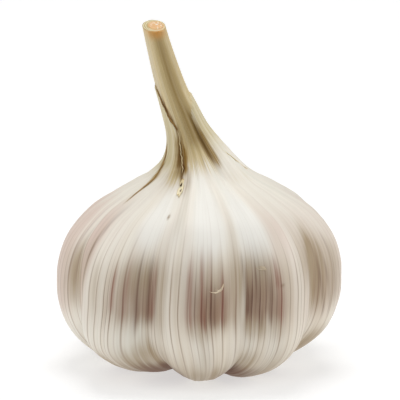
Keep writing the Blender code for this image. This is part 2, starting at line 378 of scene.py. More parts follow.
@dataclass
class BulbForm:
    """The bulb's outer form, from the rim round the root plate up to the cut of the neck."""

    knots: tuple[Knot, ...] = (
        Knot(7.3, 3.4, 0.02, 0.0),
        Knot(9.2, 1.1, 0.08, 0.7),
        Knot(12.6, -0.2, 0.13, 1.5),
        Knot(19.6, 1.75, 0.155, 1.6),
        Knot(26.2, 7.3, 0.145, 0.8),
        Knot(29.4, 13.8, 0.13, 0.2),
        Knot(30.0, 20.0, 0.12, 0.0),
        Knot(28.2, 27.6, 0.105, 0.0),
        Knot(23.4, 33.7, 0.085, 0.0),
        Knot(16.6, 38.0, 0.07, 0.0),
        Knot(10.4, 41.4, 0.06, 0.0),
        Knot(6.9, 45.0, 0.055, 0.0),
        Knot(4.45, 49.6, 0.04, 0.0),
        Knot(3.35, 56.0, 0.02, 0.0),
        Knot(2.7, 65.0, 0.0, 0.0),
        Knot(2.3, 73.8, 0.0, 0.0),
    )
    cloves: tuple[Clove, ...] = (
        Clove(40.0, 1.00, 0.00, 0.0, 4.0, Blush(1.0), 0.20, 0.35,
              (-0.83, -0.635, -0.435, -0.235, 0.0, 0.205, 0.425, 0.70)),
        Clove(38.5, 1.00, 0.055, 0.0, 3.0, Blush(0.95, -3.0, -2.0, -0.62, 0.25), 0.35, 0.75,
              (-0.875, -0.72, -0.512, -0.294, -0.075, 0.132, 0.366, 0.652)),
        Clove(43.0, 1.00, 0.01, 0.9, 0.0, Blush(0.42, -3.0, -2.0, -0.5, 0.4), 0.45, 0.4),
        Clove(35.0, 0.98, 0.00, 0.0, -3.0, Blush(0.75, -0.8, 0.0, 0.2, 0.9), 0.40),
        Clove(40.0, 1.00, 0.02, 0.4, 2.0, Blush(0.90, -0.9, -0.1, 0.4, 1.1), 0.30),
        Clove(35.5, 0.97, 0.00, 0.0, 3.0, Blush(0.70, -3.0, -2.0, -0.2, 0.7), 0.45),
        Clove(39.5, 0.99, 0.01, 0.0, -2.0, Blush(0.85, -0.7, 0.1, 0.5, 1.2), 0.35),
        Clove(44.1, 1.01, 0.02, 0.0, 0.0, Blush(0.22, -0.4, 0.8, 3.0, 4.0), 0.85, 0.4),
        Clove(44.4, 1.025, 0.10, 1.2, -4.0, Blush(0.84, -0.45, 0.95, 3.0, 4.0), 0.30, 0.75,
              (-0.586, -0.270, -0.077, 0.090, 0.257, 0.486, 0.698, 0.892)),
    )
    first_crease: float = -19.8
    fullness: float = 0.92
    lean: tuple[tuple[float, float], ...] = (
        (0.0, -2.0),
        (32.0, -2.2),
        (39.0, 6.0),
        (45.0, 16.0),
        (51.0, 19.5),
        (56.0, 21.5),
        (63.0, 17.0),
        (74.0, 13.0),
    )
    neck_start: float = 40.0 * MM
    cut_tilt: float = math.radians(20.0)
    cut_reach: float = 6.0 * MM
    sheath_thickness: float = 0.3 * MM
    sheath_top: float = 59.5 * MM
    sheath_slope: float = 2.2 * MM
    sheath_rag: float = 0.6 * MM
    tear_foot: float = 41.0 * MM
    folds: tuple[tuple[int, float, float], ...] = ((5, 0.045, 0.4), (8, 0.025, 2.1), (13, 0.012, 4.0))
    fold_twist: float = 0.35
    stalk_radius: float = 1.3 * MM
    stalk_offset: float = 0.3 * MM
    stalk_depth: float = 16.0 * MM
    gap: float = 0.3 * MM
    bridge_low: float = 0.20
    bridge_high: float = 0.50
    bridge_soft: float = 0.09
    shift: Array = field(default_factory=lambda: np.zeros(3))

    def __post_init__(self) -> None:
        """Work out the tables that the formulas read."""
        table = np.array([(k.radius, k.height, k.crease, k.lift) for k in self.knots])
        steps = np.hypot(*np.diff(table[:, :2], axis=0).T)
        self.outline = SmoothCurve(np.concatenate([[0.0], np.cumsum(steps)]), table)
        self.length = float(self.outline.along[-1])
        self.neck_top = self.knots[-1].height * MM
        self.widths = np.array([clove.width for clove in self.cloves])
        self.creases = self.first_crease + np.concatenate([[0.0], np.cumsum(self.widths)])
        line = np.linspace(0.0, self.lean[-1][0] + 4.0, 401)
        lean = np.radians(np.interp(line, *zip(*self.lean)))
        run = np.diff(line, prepend=0.0)
        self.line = line * MM
        self.line_across = np.cumsum(-np.sin(lean) * run) * MM
        self.line_up = np.cumsum(np.cos(lean) * run) * MM
        self.line_lean = lean
        lengths = np.linspace(self.outline.along[4], self.length, 600)
        self.upper_lengths = lengths
        self.upper_heights = self.outline(lengths)[..., 1]

    def length_at(self, height: float | Array) -> Array:
        """Distance along the outline, in mm, at a height in mm above the belly's foot."""
        return np.interp(height, self.upper_heights, self.upper_lengths)

    def clove_at(self, degrees: Array) -> tuple[Array, Array]:
        """Find the clove at an angle, and the place across it from -1 to 1.

        Args:
            degrees: angles round the bulb.

        Returns:
            The cloves' numbers, and the places across them.
        """
        turned = (np.asarray(degrees, float) - self.first_crease) % 360.0 + self.first_crease
        number = np.clip(np.searchsorted(self.creases, turned, side="right") - 1, 0, len(self.cloves) - 1)
        across = 2.0 * (turned - self.creases[number]) / self.widths[number] - 1.0
        return number, across

    def beside(self, number: Array, across: Array, name: str) -> Array:
        """A clove's value, blended with its neighbour's so that both agree at the crease between them.

        Args:
            number: the cloves' numbers.
            across: places across them, from -1 to 1.
            name: the field of the clove that is read.

        Returns:
            The blended value.
        """
        values = np.array([getattr(clove, name) for clove in self.cloves])
        neighbour = values[(number + np.where(across > 0, 1, -1)) % len(values)]
        return mix(values[number], neighbour, across * across / 2)

    def swell(self, across: Array, softness: Array) -> Array:
        """Height of the clove's back, 0 at its creases and 1 at its crown.

        Args:
            across: places across the clove, from -1 to 1.
            softness: 0 for a full back and 1 for a wave.

        Returns:
            The height.
        """
        flat = math.sqrt(1 - self.fullness**2)
        full = (np.sqrt(1 - (self.fullness * across) ** 2) - flat) / (1 - flat)
        wave = (1 + np.cos(np.pi * across)) / 2
        return mix(full, wave, softness)

    def bridged(self, back: Array, height: Array) -> Array:
        """The clove's back with its creases rounded, where the loose outer paper bridges them.

        Args:
            back: height of the clove's back, from 0 to 1.
            height: in mm above the belly's foot.

        Returns:
            The bridged back.
        """
        level = mix(self.bridge_low, self.bridge_high, smoothstep(20, 34, height))
        rounded = self.bridge_soft * np.logaddexp(back / self.bridge_soft, level / self.bridge_soft)
        return mix(back, rounded, window(height, 0, 9, 42, 47))

    def sheath_cover(self, degrees: Array, height: Array) -> Array:
        """Where the outer sheath still covers the neck.

        Args:
            degrees: angle round the neck.
            height: height along the middle line, in metres.

        Returns:
            1 where the sheath lies and 0 where it is torn away.
        """
        turn = np.radians(degrees)
        rag = 0.24 * np.sin(37 * turn + 0.7) + 0.16 * np.sin(71 * turn) + 0.20 * np.sin(19 * turn)
        top = self.sheath_top - self.sheath_slope * np.sin(turn) + self.sheath_rag * np.sin(5 * turn + 1.0)
        top = top + rag * MM
        below_top = 1 - smoothstep(top - 0.12 * MM, top + 0.12 * MM, height)
        facing, rise = from_front(degrees), height / MM
        right_of_tear = smoothstep(-3, 3, facing - TEAR_RIGHT.at(rise))
        in_tear = smoothstep(-0.7, 0.7, facing - self.tear_edge(rise)) * (1 - right_of_tear)
        open_here = in_tear * smoothstep(self.tear_foot - 1 * MM, self.tear_foot + 1 * MM, height)
        started = smoothstep(self.neck_start - 4 * MM, self.neck_start + 4 * MM, height)
        return started * below_top * (1 - open_here)

    @staticmethod
    def tear_edge(rise: Array) -> Array:
        """Angle of the tear's left edge, which wavers a little, at a height in mm."""
        return TEAR_LEFT.at(rise) + 0.45 * np.sin(rise * 2.9) + 0.35 * np.sin(rise * 5.3 + 1.0)

    def place(self, x: Array, y: Array, height: Array) -> Array:
        """Put a point of the upright bulb on the leaning middle line, with the neck cut on a slant.

        Args:
            x: towards +X, in metres.
            y: away from the front, in metres.
            height: along the middle line, in metres.

        Returns:
            Points in metres, in the last axis.
        """
        slant = y * math.tan(self.cut_tilt) - x * math.tan(self.line_lean[-1])
        height = height + slant * smoothstep(self.neck_top - self.cut_reach, self.neck_top, height)
        across = np.interp(height, self.line, self.line_across)
        up = np.interp(height, self.line, self.line_up)
        lean = np.interp(height, self.line, self.line_lean)
        in_neck = smoothstep(self.neck_start - 1 * MM, self.neck_start + 9 * MM, height)
        turn = np.maximum(0.0, lean) * in_neck
        points = np.stack([across + x * np.cos(turn), y + 0 * x, up + x * np.sin(turn)], axis=-1)
        return points + self.shift

    def skin(self, length: Array, degrees: Array) -> Array:
        """Points of the skin.

        Args:
            length: distance along the outline from its foot, in mm.
            degrees: angle round the bulb.

        Returns:
            Points in metres, in the last axis.
        """
        length, degrees = np.broadcast_arrays(np.asarray(length, float), np.asarray(degrees, float))
        radius_mm, height_mm, crease, lift = np.moveaxis(self.outline(length), -1, 0)
        number, across = self.clove_at(degrees)
        height = height_mm * MM
        neck = smoothstep(33.0 * MM, 46.0 * MM, height)
        back = self.swell(across, mix(0.14, 1.0, neck))
        in_body = smoothstep(8.0, 24.0, radius_mm)
        reach = mix(1.0, self.beside(number, across, "reach"), in_body)
        foot = self.beside(number, across, "foot") * MM * (1 - smoothstep(3.0, 12.0, height_mm))
        low = smoothstep(8.0, 18.0, radius_mm) * (1 - smoothstep(1.0, 19.0, height_mm))
        reach = reach + self.beside(number, across, "hip") * low
        radius = radius_mm * MM * reach * (1 - crease * (1 - self.bridged(back, height_mm)))
        turn = np.radians(degrees + self.beside(number, across, "toe") * low)
        fold_turn = turn + self.fold_twist * neck
        folds = sum(depth * np.cos(count * fold_turn + phase) for count, depth, phase in self.folds)
        strength = neck * (1 - 0.6 * smoothstep(self.neck_top - 12 * MM, self.neck_top, height))
        cover = self.sheath_cover(degrees, height)
        radius = radius * (1 + folds * strength) + self.sheath_thickness * cover
        height = height + lift * MM * (1 - back) + foot * smoothstep(7.5, 12.0, radius_mm)
        return self.place(radius * np.sin(turn), -radius * np.cos(turn), np.maximum(height, 0.0))

    def skin_frame(self, height: Array, degrees: Array) -> tuple[Array, Array]:
        """Points of the upper skin and its outward normals.

        Args:
            height: along the middle line, in mm.
            degrees: angle round the bulb.

        Returns:
            Points in metres and unit normals.
        """
        length = self.length_at(height)
        points = self.skin(length, degrees)
        round_it = self.skin(length, degrees + 0.5) - self.skin(length, degrees - 0.5)
        up_it = self.skin(length + 0.1, degrees) - self.skin(length - 0.1, degrees)
        normal = np.cross(round_it, up_it)
        return points, normal / np.linalg.norm(normal, axis=-1, keepdims=True)

    def ring(self, radius: Array, height: Array, degrees: Array, offset: float = 0.0) -> Array:
        """Points of round rings across the neck, in metres."""
        turn, level = np.radians(degrees), height + 0 * degrees
        return self.place(offset + radius * np.sin(turn), -radius * np.cos(turn), level)


# ---- Shader maths ----


def operator(operation: str, reflected: bool = False) -> Callable[..., "Value"]:
    """Make an operator's method.

    Args:
        operation: the Math node's operation.
        reflected: whether the value stands after the other term.

    Returns:
        The method, which adds one Math node.
    """

    def method(value: "Value", *others: "Value | float") -> "Value":
        """The Math node's result."""
        return value.bench.maths(operation, *((*others, value) if reflected else (value, *others)))

    return method


class Value:
    """The output of a node. Python's operators on it add Math nodes."""

    def __init__(self, bench: "Bench", socket: bpy.types.NodeSocket | None) -> None:
        """Keep the bench that the node is on, and its socket."""
        self.bench = bench
        self.socket = socket

    __add__, __radd__ = operator("ADD"), operator("ADD", reflected=True)
    __sub__, __rsub__ = operator("SUBTRACT"), operator("SUBTRACT", reflected=True)
    __mul__, __rmul__ = operator("MULTIPLY"), operator("MULTIPLY", reflected=True)
    __truediv__, __rtruediv__ = operator("DIVIDE"), operator("DIVIDE", reflected=True)
    __mod__ = operator("FLOORED_MODULO")
    __abs__ = operator("ABSOLUTE")

    def ramp(self, low: float, high: float, start: float = 0.0, end: float = 1.0) -> "Value":
        """Blend smoothly from start to end as the value goes from low to high."""
        sockets = dict(enumerate((self, low, high, start, end)))
        return self.bench.node("ShaderNodeMapRange", {"interpolation_type": "SMOOTHSTEP"}, sockets)


class Bench:
    """A material's node tree, and the one method that adds nodes to it."""

    def __init__(self, name: str) -> None:
        """Start an empty material of this name.

        Args:
            name: the material's name.
        """
        self.material = bpy.data.materials.new(name)
        self.material.use_nodes = True
        self.tree = self.material.node_tree
        self.tree.nodes.clear()

    def node(
        self,
        kind: str,
        settings: dict[str, object] | None = None,
        sockets: dict[int | str, "Value | float | tuple"] | None = None,
        out: int | str = 0,
    ) -> Value:
        """Add a node.

        Args:
            kind: the node's type.
            settings: its properties, set first.
            sockets: its inputs, each a value or a link.
            out: which output to give back.

        Returns:
            That output.
        """
        made = self.tree.nodes.new(kind)
        for name, setting in (settings or {}).items():
            setattr(made, name, setting)
        for key, value in (sockets or {}).items():
            socket = made.inputs[key]
            if isinstance(value, Value):
                self.tree.links.new(value.socket, socket)
            elif isinstance(value, tuple) and len(socket.default_value) > len(value):
                socket.default_value = (*value, 1.0)
            else:
                socket.default_value = value
        return Value(self, made.outputs[out] if len(made.outputs) else None)

    def maths(self, operation: str, *terms: Value | float) -> Value:
        """Add a Math node, its terms in order."""
        return self.node("ShaderNodeMath", {"operation": operation}, dict(enumerate(terms)))

    def mix(self, share: Value | float, a: Value | Colour, b: Value | Colour, blend: str = "MIX") -> Value:
        """Mix a colour with a share of the one on top of it."""
        settings = {"data_type": "RGBA", "blend_type": blend, "clamp_factor": True}
        return self.node("ShaderNodeMix", settings, {0: share, 6: a, 7: b}, out=2)

    def attribute(self, name: str) -> Value:
        """Read a number that the piece's own mesh holds."""
        return self.node("ShaderNodeAttribute", {"attribute_name": name}, out="Fac")

    def place(self) -> Value:
        """The place on the piece, in metres."""
        return self.node("ShaderNodeTexCoord", out="Object")

    def noise(self, place: Value, scale: float, detail: float = 2.0) -> Value:
        """Smooth noise from 0 to 1 over a vector."""
        return self.node("ShaderNodeTexNoise", {}, {"Vector": place, "Scale": scale, "Detail": detail})

    def chance(self, number: Value, seed: float = 0.0) -> Value:
        """A number from 0 to 1 for each whole number."""
        return self.node("ShaderNodeTexWhiteNoise", {"noise_dimensions": "1D"}, {"W": number + seed})

    def bump(self, height: Value, distance: float, strength: float, below: Value | None = None) -> Value:
        """A Bump node.

        Args:
            height: relief from 0 to 1.
            distance: what 1 stands for, in metres.
            strength: share of it that shows.
            below: another bump's normal, to add to.

        Returns:
            The bumped normal.
        """
        sockets: dict = {"Height": height, "Distance": distance, "Strength": strength}
        if below is not None:
            sockets["Normal"] = below
        return self.node("ShaderNodeBump", {}, sockets)

    def surface(
        self, tone: Value | Colour, roughness: Value | float, **more: Value | float
    ) -> bpy.types.Material:
        """Finish the material with a Principled BSDF.

        Args:
            tone: its base colour.
            roughness: its roughness.
            more: its other inputs, named with _ for a space.

        Returns:
            The material.
        """
        sockets = {"Base Color": tone, "Roughness": roughness}
        sockets |= {name.replace("_", " "): value for name, value in more.items()}
        shader = self.node("ShaderNodeBsdfPrincipled", {}, sockets)
        self.node("ShaderNodeOutputMaterial", {}, {"Surface": shader})
        return self.material


class Wrap:
    """Places on a surface that closes on itself, for patterns that run lengthwise with no seam."""

    def __init__(self, bench: Bench) -> None:
        """Read the surface map's two directions: round the piece, and along it.

        Args:
            bench: the material.
        """
        self.bench = bench
        surface = bench.node("ShaderNodeUVMap", {"uv_map": SURFACE_MAP})
        self.round = bench.node("ShaderNodeSeparateXYZ", {}, {0: surface}, out=0)
        self.along = bench.node("ShaderNodeSeparateXYZ", {}, {0: surface}, out=1)
        turn = self.round * (2 * math.pi)
        self.cosine = bench.maths("COSINE", turn)
        self.sine = bench.maths("SINE", turn)

    def place(self, around: float, along: float, seed: float = 0.0) -> Value:
        """A vector with this many noise cells round the piece and along it.

        Args:
            around: noise cells round the piece.
            along: noise cells for each unit along it.
            seed: which pattern.

        Returns:
            The vector.
        """
        size = around / (2 * math.pi)
        sockets = {0: self.cosine * size, 1: self.sine * size, 2: self.along * along + seed}
        return self.bench.node("ShaderNodeCombineXYZ", {}, sockets)

    def streaks(self, around: float, along: float, seed: float = 0.0, detail: float = 2.0) -> Value:
        """Lengthwise streaks from 0 to 1."""
        return self.bench.noise(self.place(around, along, seed), 1.0, detail)


# ---- Mesh work ----


def start_alone(made: bpy.types.Object | None = None) -> None:
    """Leave edit mode and deselect everything but one piece, which becomes the active one.

    Args:
        made: the piece that stays selected, if any.
    """
    if bpy.context.mode != "OBJECT":
        bpy.ops.object.mode_set(mode="OBJECT")
    bpy.ops.object.select_all(action="DESELECT")
    if made:
        made.select_set(True)
        bpy.context.view_layer.objects.active = made


def places_of(made: bpy.types.Object) -> Array:
    """A piece's vertices as rows.

    Args:
        made: the piece.

    Returns:
        Its vertices' places.
    """
    flat = np.empty(len(made.data.vertices) * 3)
    made.data.vertices.foreach_get("co", flat)
    return flat.reshape(-1, 3)


def put_places(made: bpy.types.Object, points: Array) -> None:
    """Move a piece's vertices to points given as rows."""
    made.data.vertices.foreach_set("co", points.ravel())
    made.data.update()


def lay_grid(name: str, points: Array) -> bpy.types.Object:
    """Shape a grid primitive into a surface, with its surface map round and along it.

    Args:
        name: the piece's name.
        points: rows by columns of points. Where the rows are rings, the last column is the first one again.

    Returns:
        The piece, its vertices still in the order of the grid.
    """
    rows, columns = points.shape[:2]
    start_alone()
    bpy.ops.mesh.primitive_grid_add(x_subdivisions=columns - 1, y_subdivisions=rows - 1, size=2.0)
    made = bpy.context.object
    made.name = made.data.name = name
    flat = places_of(made)
    column = np.rint((flat[:, 0] + 1.0) / 2.0 * (columns - 1)).astype(int)
    row = np.rint((flat[:, 1] + 1.0) / 2.0 * (rows - 1)).astype(int)
    put_places(made, points[row, column].astype(np.float32))
    return made


def add_cylinder(name: str, sides: int, radius: float, depth: float, middle: float) -> bpy.types.Object:
    """Add an upright cylinder on the Z axis.

    Args:
        name: the piece's name.
        sides: how many sides it has.
        radius: in metres.
        depth: its height in metres.
        middle: the height of its middle, in metres.

    Returns:
        The piece, its place in its mesh.
    """
    start_alone()
    bpy.ops.mesh.primitive_cylinder_add(vertices=sides, radius=radius, depth=depth, location=(0, 0, middle))
    made = bpy.context.object
    made.name = made.data.name = name
    bpy.ops.object.transform_apply(location=True, rotation=True, scale=True)
    return made


def edit_end(made: bpy.types.Object, way: int) -> None:
    """Go into edit mode with the face selected that looks up, or down when way is -1.

    Args:
        made: an upright cylinder.
        way: 1 for its top and -1 for its foot.
    """
    for face in made.data.polygons:
        face.select = face.normal.z * way > LEVEL
    bpy.ops.object.mode_set(mode="EDIT")
    bpy.ops.mesh.select_mode(type="FACE")


def turned(x: Array, y: Array, angle: float) -> Array:
    """Turn points round the Z axis by an angle in radians."""
    cosine, sine = math.cos(angle), math.sin(angle)
    return np.array([x * cosine - y * sine, x * sine + y * cosine])


def close_end() -> None:
    """Bring the selected face to a point and leave edit mode."""
    bpy.ops.mesh.poke()
    bpy.ops.object.mode_set(mode="OBJECT")


def smooth_by(made: bpy.types.Object, degrees: float) -> None:
    """Smooth the shading, apart from edges sharper than an angle."""
    start_alone(made)
    bpy.ops.object.shade_smooth_by_angle(angle=math.radians(degrees))


def keep_numbers(made: bpy.types.Object, name: str, values: Array) -> None:
    """Store one number for each vertex, given in the order of the vertices."""
    attribute = made.data.attributes.new(name, "FLOAT", "POINT")
    attribute.data.foreach_set("value", values.astype(np.float32).ravel())


def close_up(made: bpy.types.Object, distance: float = 1e-6) -> None:
    """Merge the doubled vertices at the seam and the poles, and smooth the shading.

    Args:
        made: the piece.
        distance: how near counts as doubled, in metres.
    """
    start_alone(made)
    bpy.ops.object.mode_set(mode="EDIT")
    bpy.ops.mesh.select_all(action="SELECT")
    bpy.ops.mesh.remove_doubles(threshold=distance)
    bpy.ops.mesh.dissolve_degenerate(threshold=distance)
    bpy.ops.object.mode_set(mode="OBJECT")
    bpy.ops.object.shade_smooth()


def keep_inside(points: Array) -> Array:
    """Hold points inside the solid's box."""
    return np.clip(points, *(np.array(corner) for corner in CAD_BOX))


def normals_of(points: Array) -> Array:
    """Outward unit normals of a closed grid of points, whose last column is the first one again.

    Args:
        points: rows by columns of points.

    Returns:
        A unit normal for each.
    """
    round_it = np.roll(points[:, :-1], -1, axis=1) - np.roll(points[:, :-1], 1, axis=1)
    round_it = np.concatenate([round_it, round_it[:, :1]], axis=1)
    normal = np.cross(round_it, np.gradient(points, axis=0))
    return normal / np.maximum(np.linalg.norm(normal, axis=-1, keepdims=True), 1e-12)


class Slot(Enum):
    """The record's material slots."""

    SKIN = "papery_skin"
    STALK = "cut_stalk"
    ROOTS = "dried_roots"


def hand_over(made: bpy.types.Object, material: bpy.types.Material, slot: Slot, *nodes: str) -> None:
    """Dress a piece, fix it to the bulb's body and hide the CAD nodes that it replaces.

    Args:
        made: the finished piece.
        material: its finish.
        slot: the record's slot that the finish belongs to; not used.
        nodes: the CAD nodes that it replaces.
    """
    made.data.materials.clear()
    made.data.materials.append(material)
    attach(made, ROOT_BODY)
    if nodes:
        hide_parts(*nodes)
    LOG.info("%s: %d faces", made.name, len(made.data.polygons))


# ---- Skin ----


@dataclass(frozen=True)
class SkinFinish:
    """Dried garlic skin: cream paper with lengthwise veins, a purple-brown blush and an olive neck, with
    painted highlights and painted shade.
    """

    veins: int
    paper: Colour = (0.842, 0.798, 0.710)
    painted_highlight_paper: Colour = (0.870, 0.855, 0.800)
    warm_paper: Colour = (0.72, 0.62, 0.48)
    cool_paper: Colour = (0.74, 0.75, 0.66)
    rose: Colour = (0.66, 0.50, 0.43)
    blush: Colour = (0.290, 0.165, 0.096)
    deep_blush: Colour = (0.150, 0.070, 0.042)
    olive_blush: Colour = (0.400, 0.290, 0.160)
    vein: Colour = (0.330, 0.215, 0.140)
    red_vein: Colour = (0.270, 0.078, 0.052)
    tan: Colour = (0.380, 0.285, 0.175)
    foot: Colour = (0.175, 0.078, 0.036)
    neck: Colour = (0.530, 0.400, 0.180)
    neck_pale: Colour = (0.700, 0.590, 0.370)
    neck_painted_light: Colour = (0.740, 0.680, 0.540)
    neck_dark: Colour = (0.250, 0.155, 0.035)
    sheath: Colour = (0.560, 0.470, 0.250)
    stain_and_groove_shade: Colour = (0.250, 0.120, 0.012)
    gold: Colour = (0.470, 0.330, 0.120)
    rust: Colour = (0.600, 0.280, 0.060)
    cut: Colour = (0.760, 0.700, 0.460)
    cut_core: Colour = (0.800, 0.520, 0.280)
    roughness: float = 0.40
    gloss: float = 0.34

    def make(self) -> bpy.types.Material:
        """Build the finish.

        Returns:
            The material.
        """
        bench = Bench("papery_skin")
        wrap = Wrap(bench)
        rise = bench.attribute("rise")
        grain = wrap.streaks(self.veins * 1.4, 3.0, 41.0)
        fine = wrap.streaks(self.veins * 5.0, 4.0, 3.0)
        spread = fine.ramp(0.36, 0.64)
        crinkle = wrap.streaks(60.0, 34.0, 9.0, 4.0)
        toned = self.paper_tone(bench, wrap, rise, fine)
        # The pale mask is painted highlight on the shoulder.
        toned = bench.mix(bench.attribute("pale"), toned, self.painted_highlight_paper)
        tan = bench.attribute("tan") * (0.74 + grain.ramp(0.36, 0.64) * 0.36 + spread * 0.16)
        toned = bench.mix(tan.ramp(0.0, 1.0), toned, self.tan)
        depth, toned = self.add_blush(bench, wrap, rise, toned)
        lines = self.vein_lines(bench, wrap, rise)
        toned = bench.mix(lines * (1.0 + depth * 0.7), toned, bench.mix(depth, self.vein, self.deep_blush))
        toned = bench.mix(bench.attribute("brown") * (0.35 + spread * 0.9), toned, self.deep_blush)
        toned = bench.mix(bench.attribute("red") * (0.30 + spread * 0.75), toned, self.red_vein)
        foot = (bench.attribute("foot") * (0.45 + grain * 1.2)).ramp(0.05, 0.95)
        toned = bench.mix(foot, toned, self.foot)
        toned = self.add_neck(bench, wrap, toned)
        golden = (bench.attribute("gold") * (0.65 + spread * 0.6)).ramp(0.0, 1.0)
        toned = bench.mix(golden, toned, self.gold, "MULTIPLY")
        # Brown stains and dark specks, and painted shade in the neck's valley.
        toned = bench.mix(bench.attribute("stain_and_groove_shade"), toned, self.stain_and_groove_shade, "MULTIPLY")
        toned = bench.mix(bench.attribute("rust") * (0.5 + grain), toned, self.rust)
        toned = self.add_cut(bench, toned)
        normal = bench.bump(fine, 0.10 * MM, 0.20)
        normal = bench.bump(crinkle, 0.25 * MM, 0.25, normal)
        matt = bench.attribute("stain_and_groove_shade") * 0.35 + golden * 0.25
        roughness = self.roughness + crinkle * 0.12 + matt
        return bench.surface(toned, roughness, Normal=normal, Specular_IOR_Level=self.gloss)

    def paper_tone(self, bench: Bench, wrap: Wrap, rise: Value, fine: Value) -> Value:
        """Cream paper with warmer, cooler and rosier lengthwise bands, plainer on the shoulder.

        Args:
            bench: the material.
            wrap: places on the skin.
            rise: height in mm.
            fine: fine streaks from 0 to 1.

        Returns:
            The paper's colour.
        """
        wide = wrap.streaks(24.0, 1.4, 1.0)
        narrow = wrap.streaks(70.0, 1.6, 17.0)
        rose = bench.attribute("rose")
        plain = rise.ramp(22.0, 34.0, 1.0, 0.4)
        bands = wide * 0.75 + narrow * 0.25
        tone = bench.mix(bands.ramp(0.44, 0.70, 0.0, 0.60) * plain, self.paper, self.warm_paper)
        tone = bench.mix(bands.ramp(0.50, 0.32, 0.0, 0.6) * plain, tone, self.cool_paper)
        rosy = (wrap.streaks(56.0, 1.2, 5.0) + rose * 0.20).ramp(0.40, 0.72)
        tone = bench.mix(rosy * rose.ramp(0.0, 1.0, 0.0, 0.75), tone, self.rose)
        return bench.mix(fine.ramp(0.45, 0.66, 0.0, 0.10) * plain, tone, self.warm_paper, "MULTIPLY")

    def add_blush(self, bench: Bench, wrap: Wrap, rise: Value, paper: Value) -> tuple[Value, Value]:
        """The purple-brown belly, in streaks with ragged ends, olive at the top.

        Args:
            bench: the material.
            wrap: places on the skin.
            rise: height in mm.
            paper: the skin without it.

        Returns:
            The blush's depth, and the skin with it.
        """
        side = bench.attribute("blush")
        broad = wrap.streaks(self.veins * 0.9, 0.7, 11.0).ramp(0.34, 0.66)
        narrow = wrap.streaks(self.veins * 2.6, 1.0, 13.0).ramp(0.34, 0.66)
        hair = wrap.streaks(self.veins * 7.0, 1.6, 15.0).ramp(0.36, 0.64)
        upper = rise + (broad - 0.5) * 2.4 + (narrow - 0.5) * 0.9 + (hair - 0.5) * 0.8
        lower = rise + (narrow - 0.5) * 0.9 + (hair - 0.5) * 0.8
        olive = side * upper.ramp(32.0, 24.5) * lower.ramp(11.5, 18.0)
        brown = side * upper.ramp(30.0, 19.0) * lower.ramp(12.5, 18.2)
        skin = bench.mix(olive * (0.36 + broad * 0.10 + narrow * 0.08), paper, self.olive_blush)
        share = brown * (0.61 + broad * 0.08 + narrow * 0.05 + hair * 0.04)
        skin = bench.mix(share.ramp(-0.02, 1.0), skin, self.blush)
        dark = (narrow * 0.6 + hair * 0.4).ramp(0.50, 0.95) * brown.ramp(0.3, 1.0)
        return brown, bench.mix(dark * 0.26, skin, self.deep_blush)

    def vein_lines(self, bench: Bench, wrap: Wrap, rise: Value) -> Value:
        """How strongly the veins show: the main ones, and thin ones between them.

        Args:
            bench: the material.
            wrap: places on the skin.
            rise: height in mm.

        Returns:
            The veins' strength, from 0 to 1.
        """
        place = wrap.round * float(self.veins)
        nearest = bench.maths("ROUND", place)
        off = abs(place - nearest)
        chance = bench.chance(nearest % float(self.veins))
        ends = wrap.streaks(self.veins, 3.0, 21.0)
        line = (off / (0.085 + chance * 0.05)).ramp(0.0, 1.0, 1.0, 0.0)
        shows = (rise + ends * 14.0).ramp(28.0, 42.0, 1.0, 0.12) * rise.ramp(35.0, 43.0, 1.0, 0.0)
        strong = line * (0.36 + chance * 0.50) * shows * (0.3 + ends * 1.2)
        between = place * 2.0
        nearest = bench.maths("ROUND", between)
        thin_off = abs(between - nearest)
        thin_chance = bench.chance(nearest % (self.veins * 2.0), 7.5)
        thin = (thin_off / 0.15).ramp(0.0, 1.0, 1.0, 0.0) * thin_chance.ramp(0.30, 1.0, 0.0, 0.50)
        strength = bench.maths("MAXIMUM", strong, thin * shows * (0.3 + ends * 1.3))
        return strength * rise.ramp(-1.0, 15.0, 0.5, 1.0)

    def add_neck(self, bench: Bench, wrap: Wrap, skin: Value) -> Value:
        """The olive inner sheath where the outer one is torn away, and the pale outer sheath, with painted
        shade down the neck and painted light on its left side.

        Args:
            bench: the material.
            wrap: places on the skin.
            skin: the skin without it.

        Returns:
            The skin with the neck.
        """
        coarse = wrap.streaks(34.0, 1.6, 31.0)
        fine = wrap.streaks(110.0, 3.0, 33.0)
        hair = wrap.streaks(300.0, 5.0, 35.0)
        tone = bench.mix(coarse.ramp(0.36, 0.64, 0.15, 0.85), self.neck, self.neck_pale)
        # The pale mask here is painted light on the neck's lit left side.
        tone = bench.mix(bench.attribute("pale") * fine.ramp(0.3, 0.6, 0.4, 0.9), tone, self.neck_painted_light)
        # The neck_dark mask is mostly painted shade: down the neck's front and right side and in the
        # valley's groove.
        dark = (bench.attribute("neck_dark") * (0.7 + fine * 0.6)).ramp(0.0, 1.0)
        tone = bench.mix(dark, tone, self.neck_dark)
        tone = bench.mix(hair.ramp(0.50, 0.70, 0.0, 0.26), tone, self.neck_dark)
        bare = bench.attribute("bare")
        frayed = (fine.ramp(0.36, 0.64) - 0.5) * 0.55 + (coarse - 0.5) * 0.5
        frayed = frayed + (hair.ramp(0.36, 0.64) - 0.5) * 0.30
        edge = (bare + frayed * (1.0 - abs(bare * 2.0 - 1.0))).ramp(0.05, 0.80)
        outer = bench.mix(bench.attribute("sheath") * fine.ramp(0.3, 0.7, 0.60, 1.0), skin, self.sheath)
        return bench.mix(edge, outer, tone)

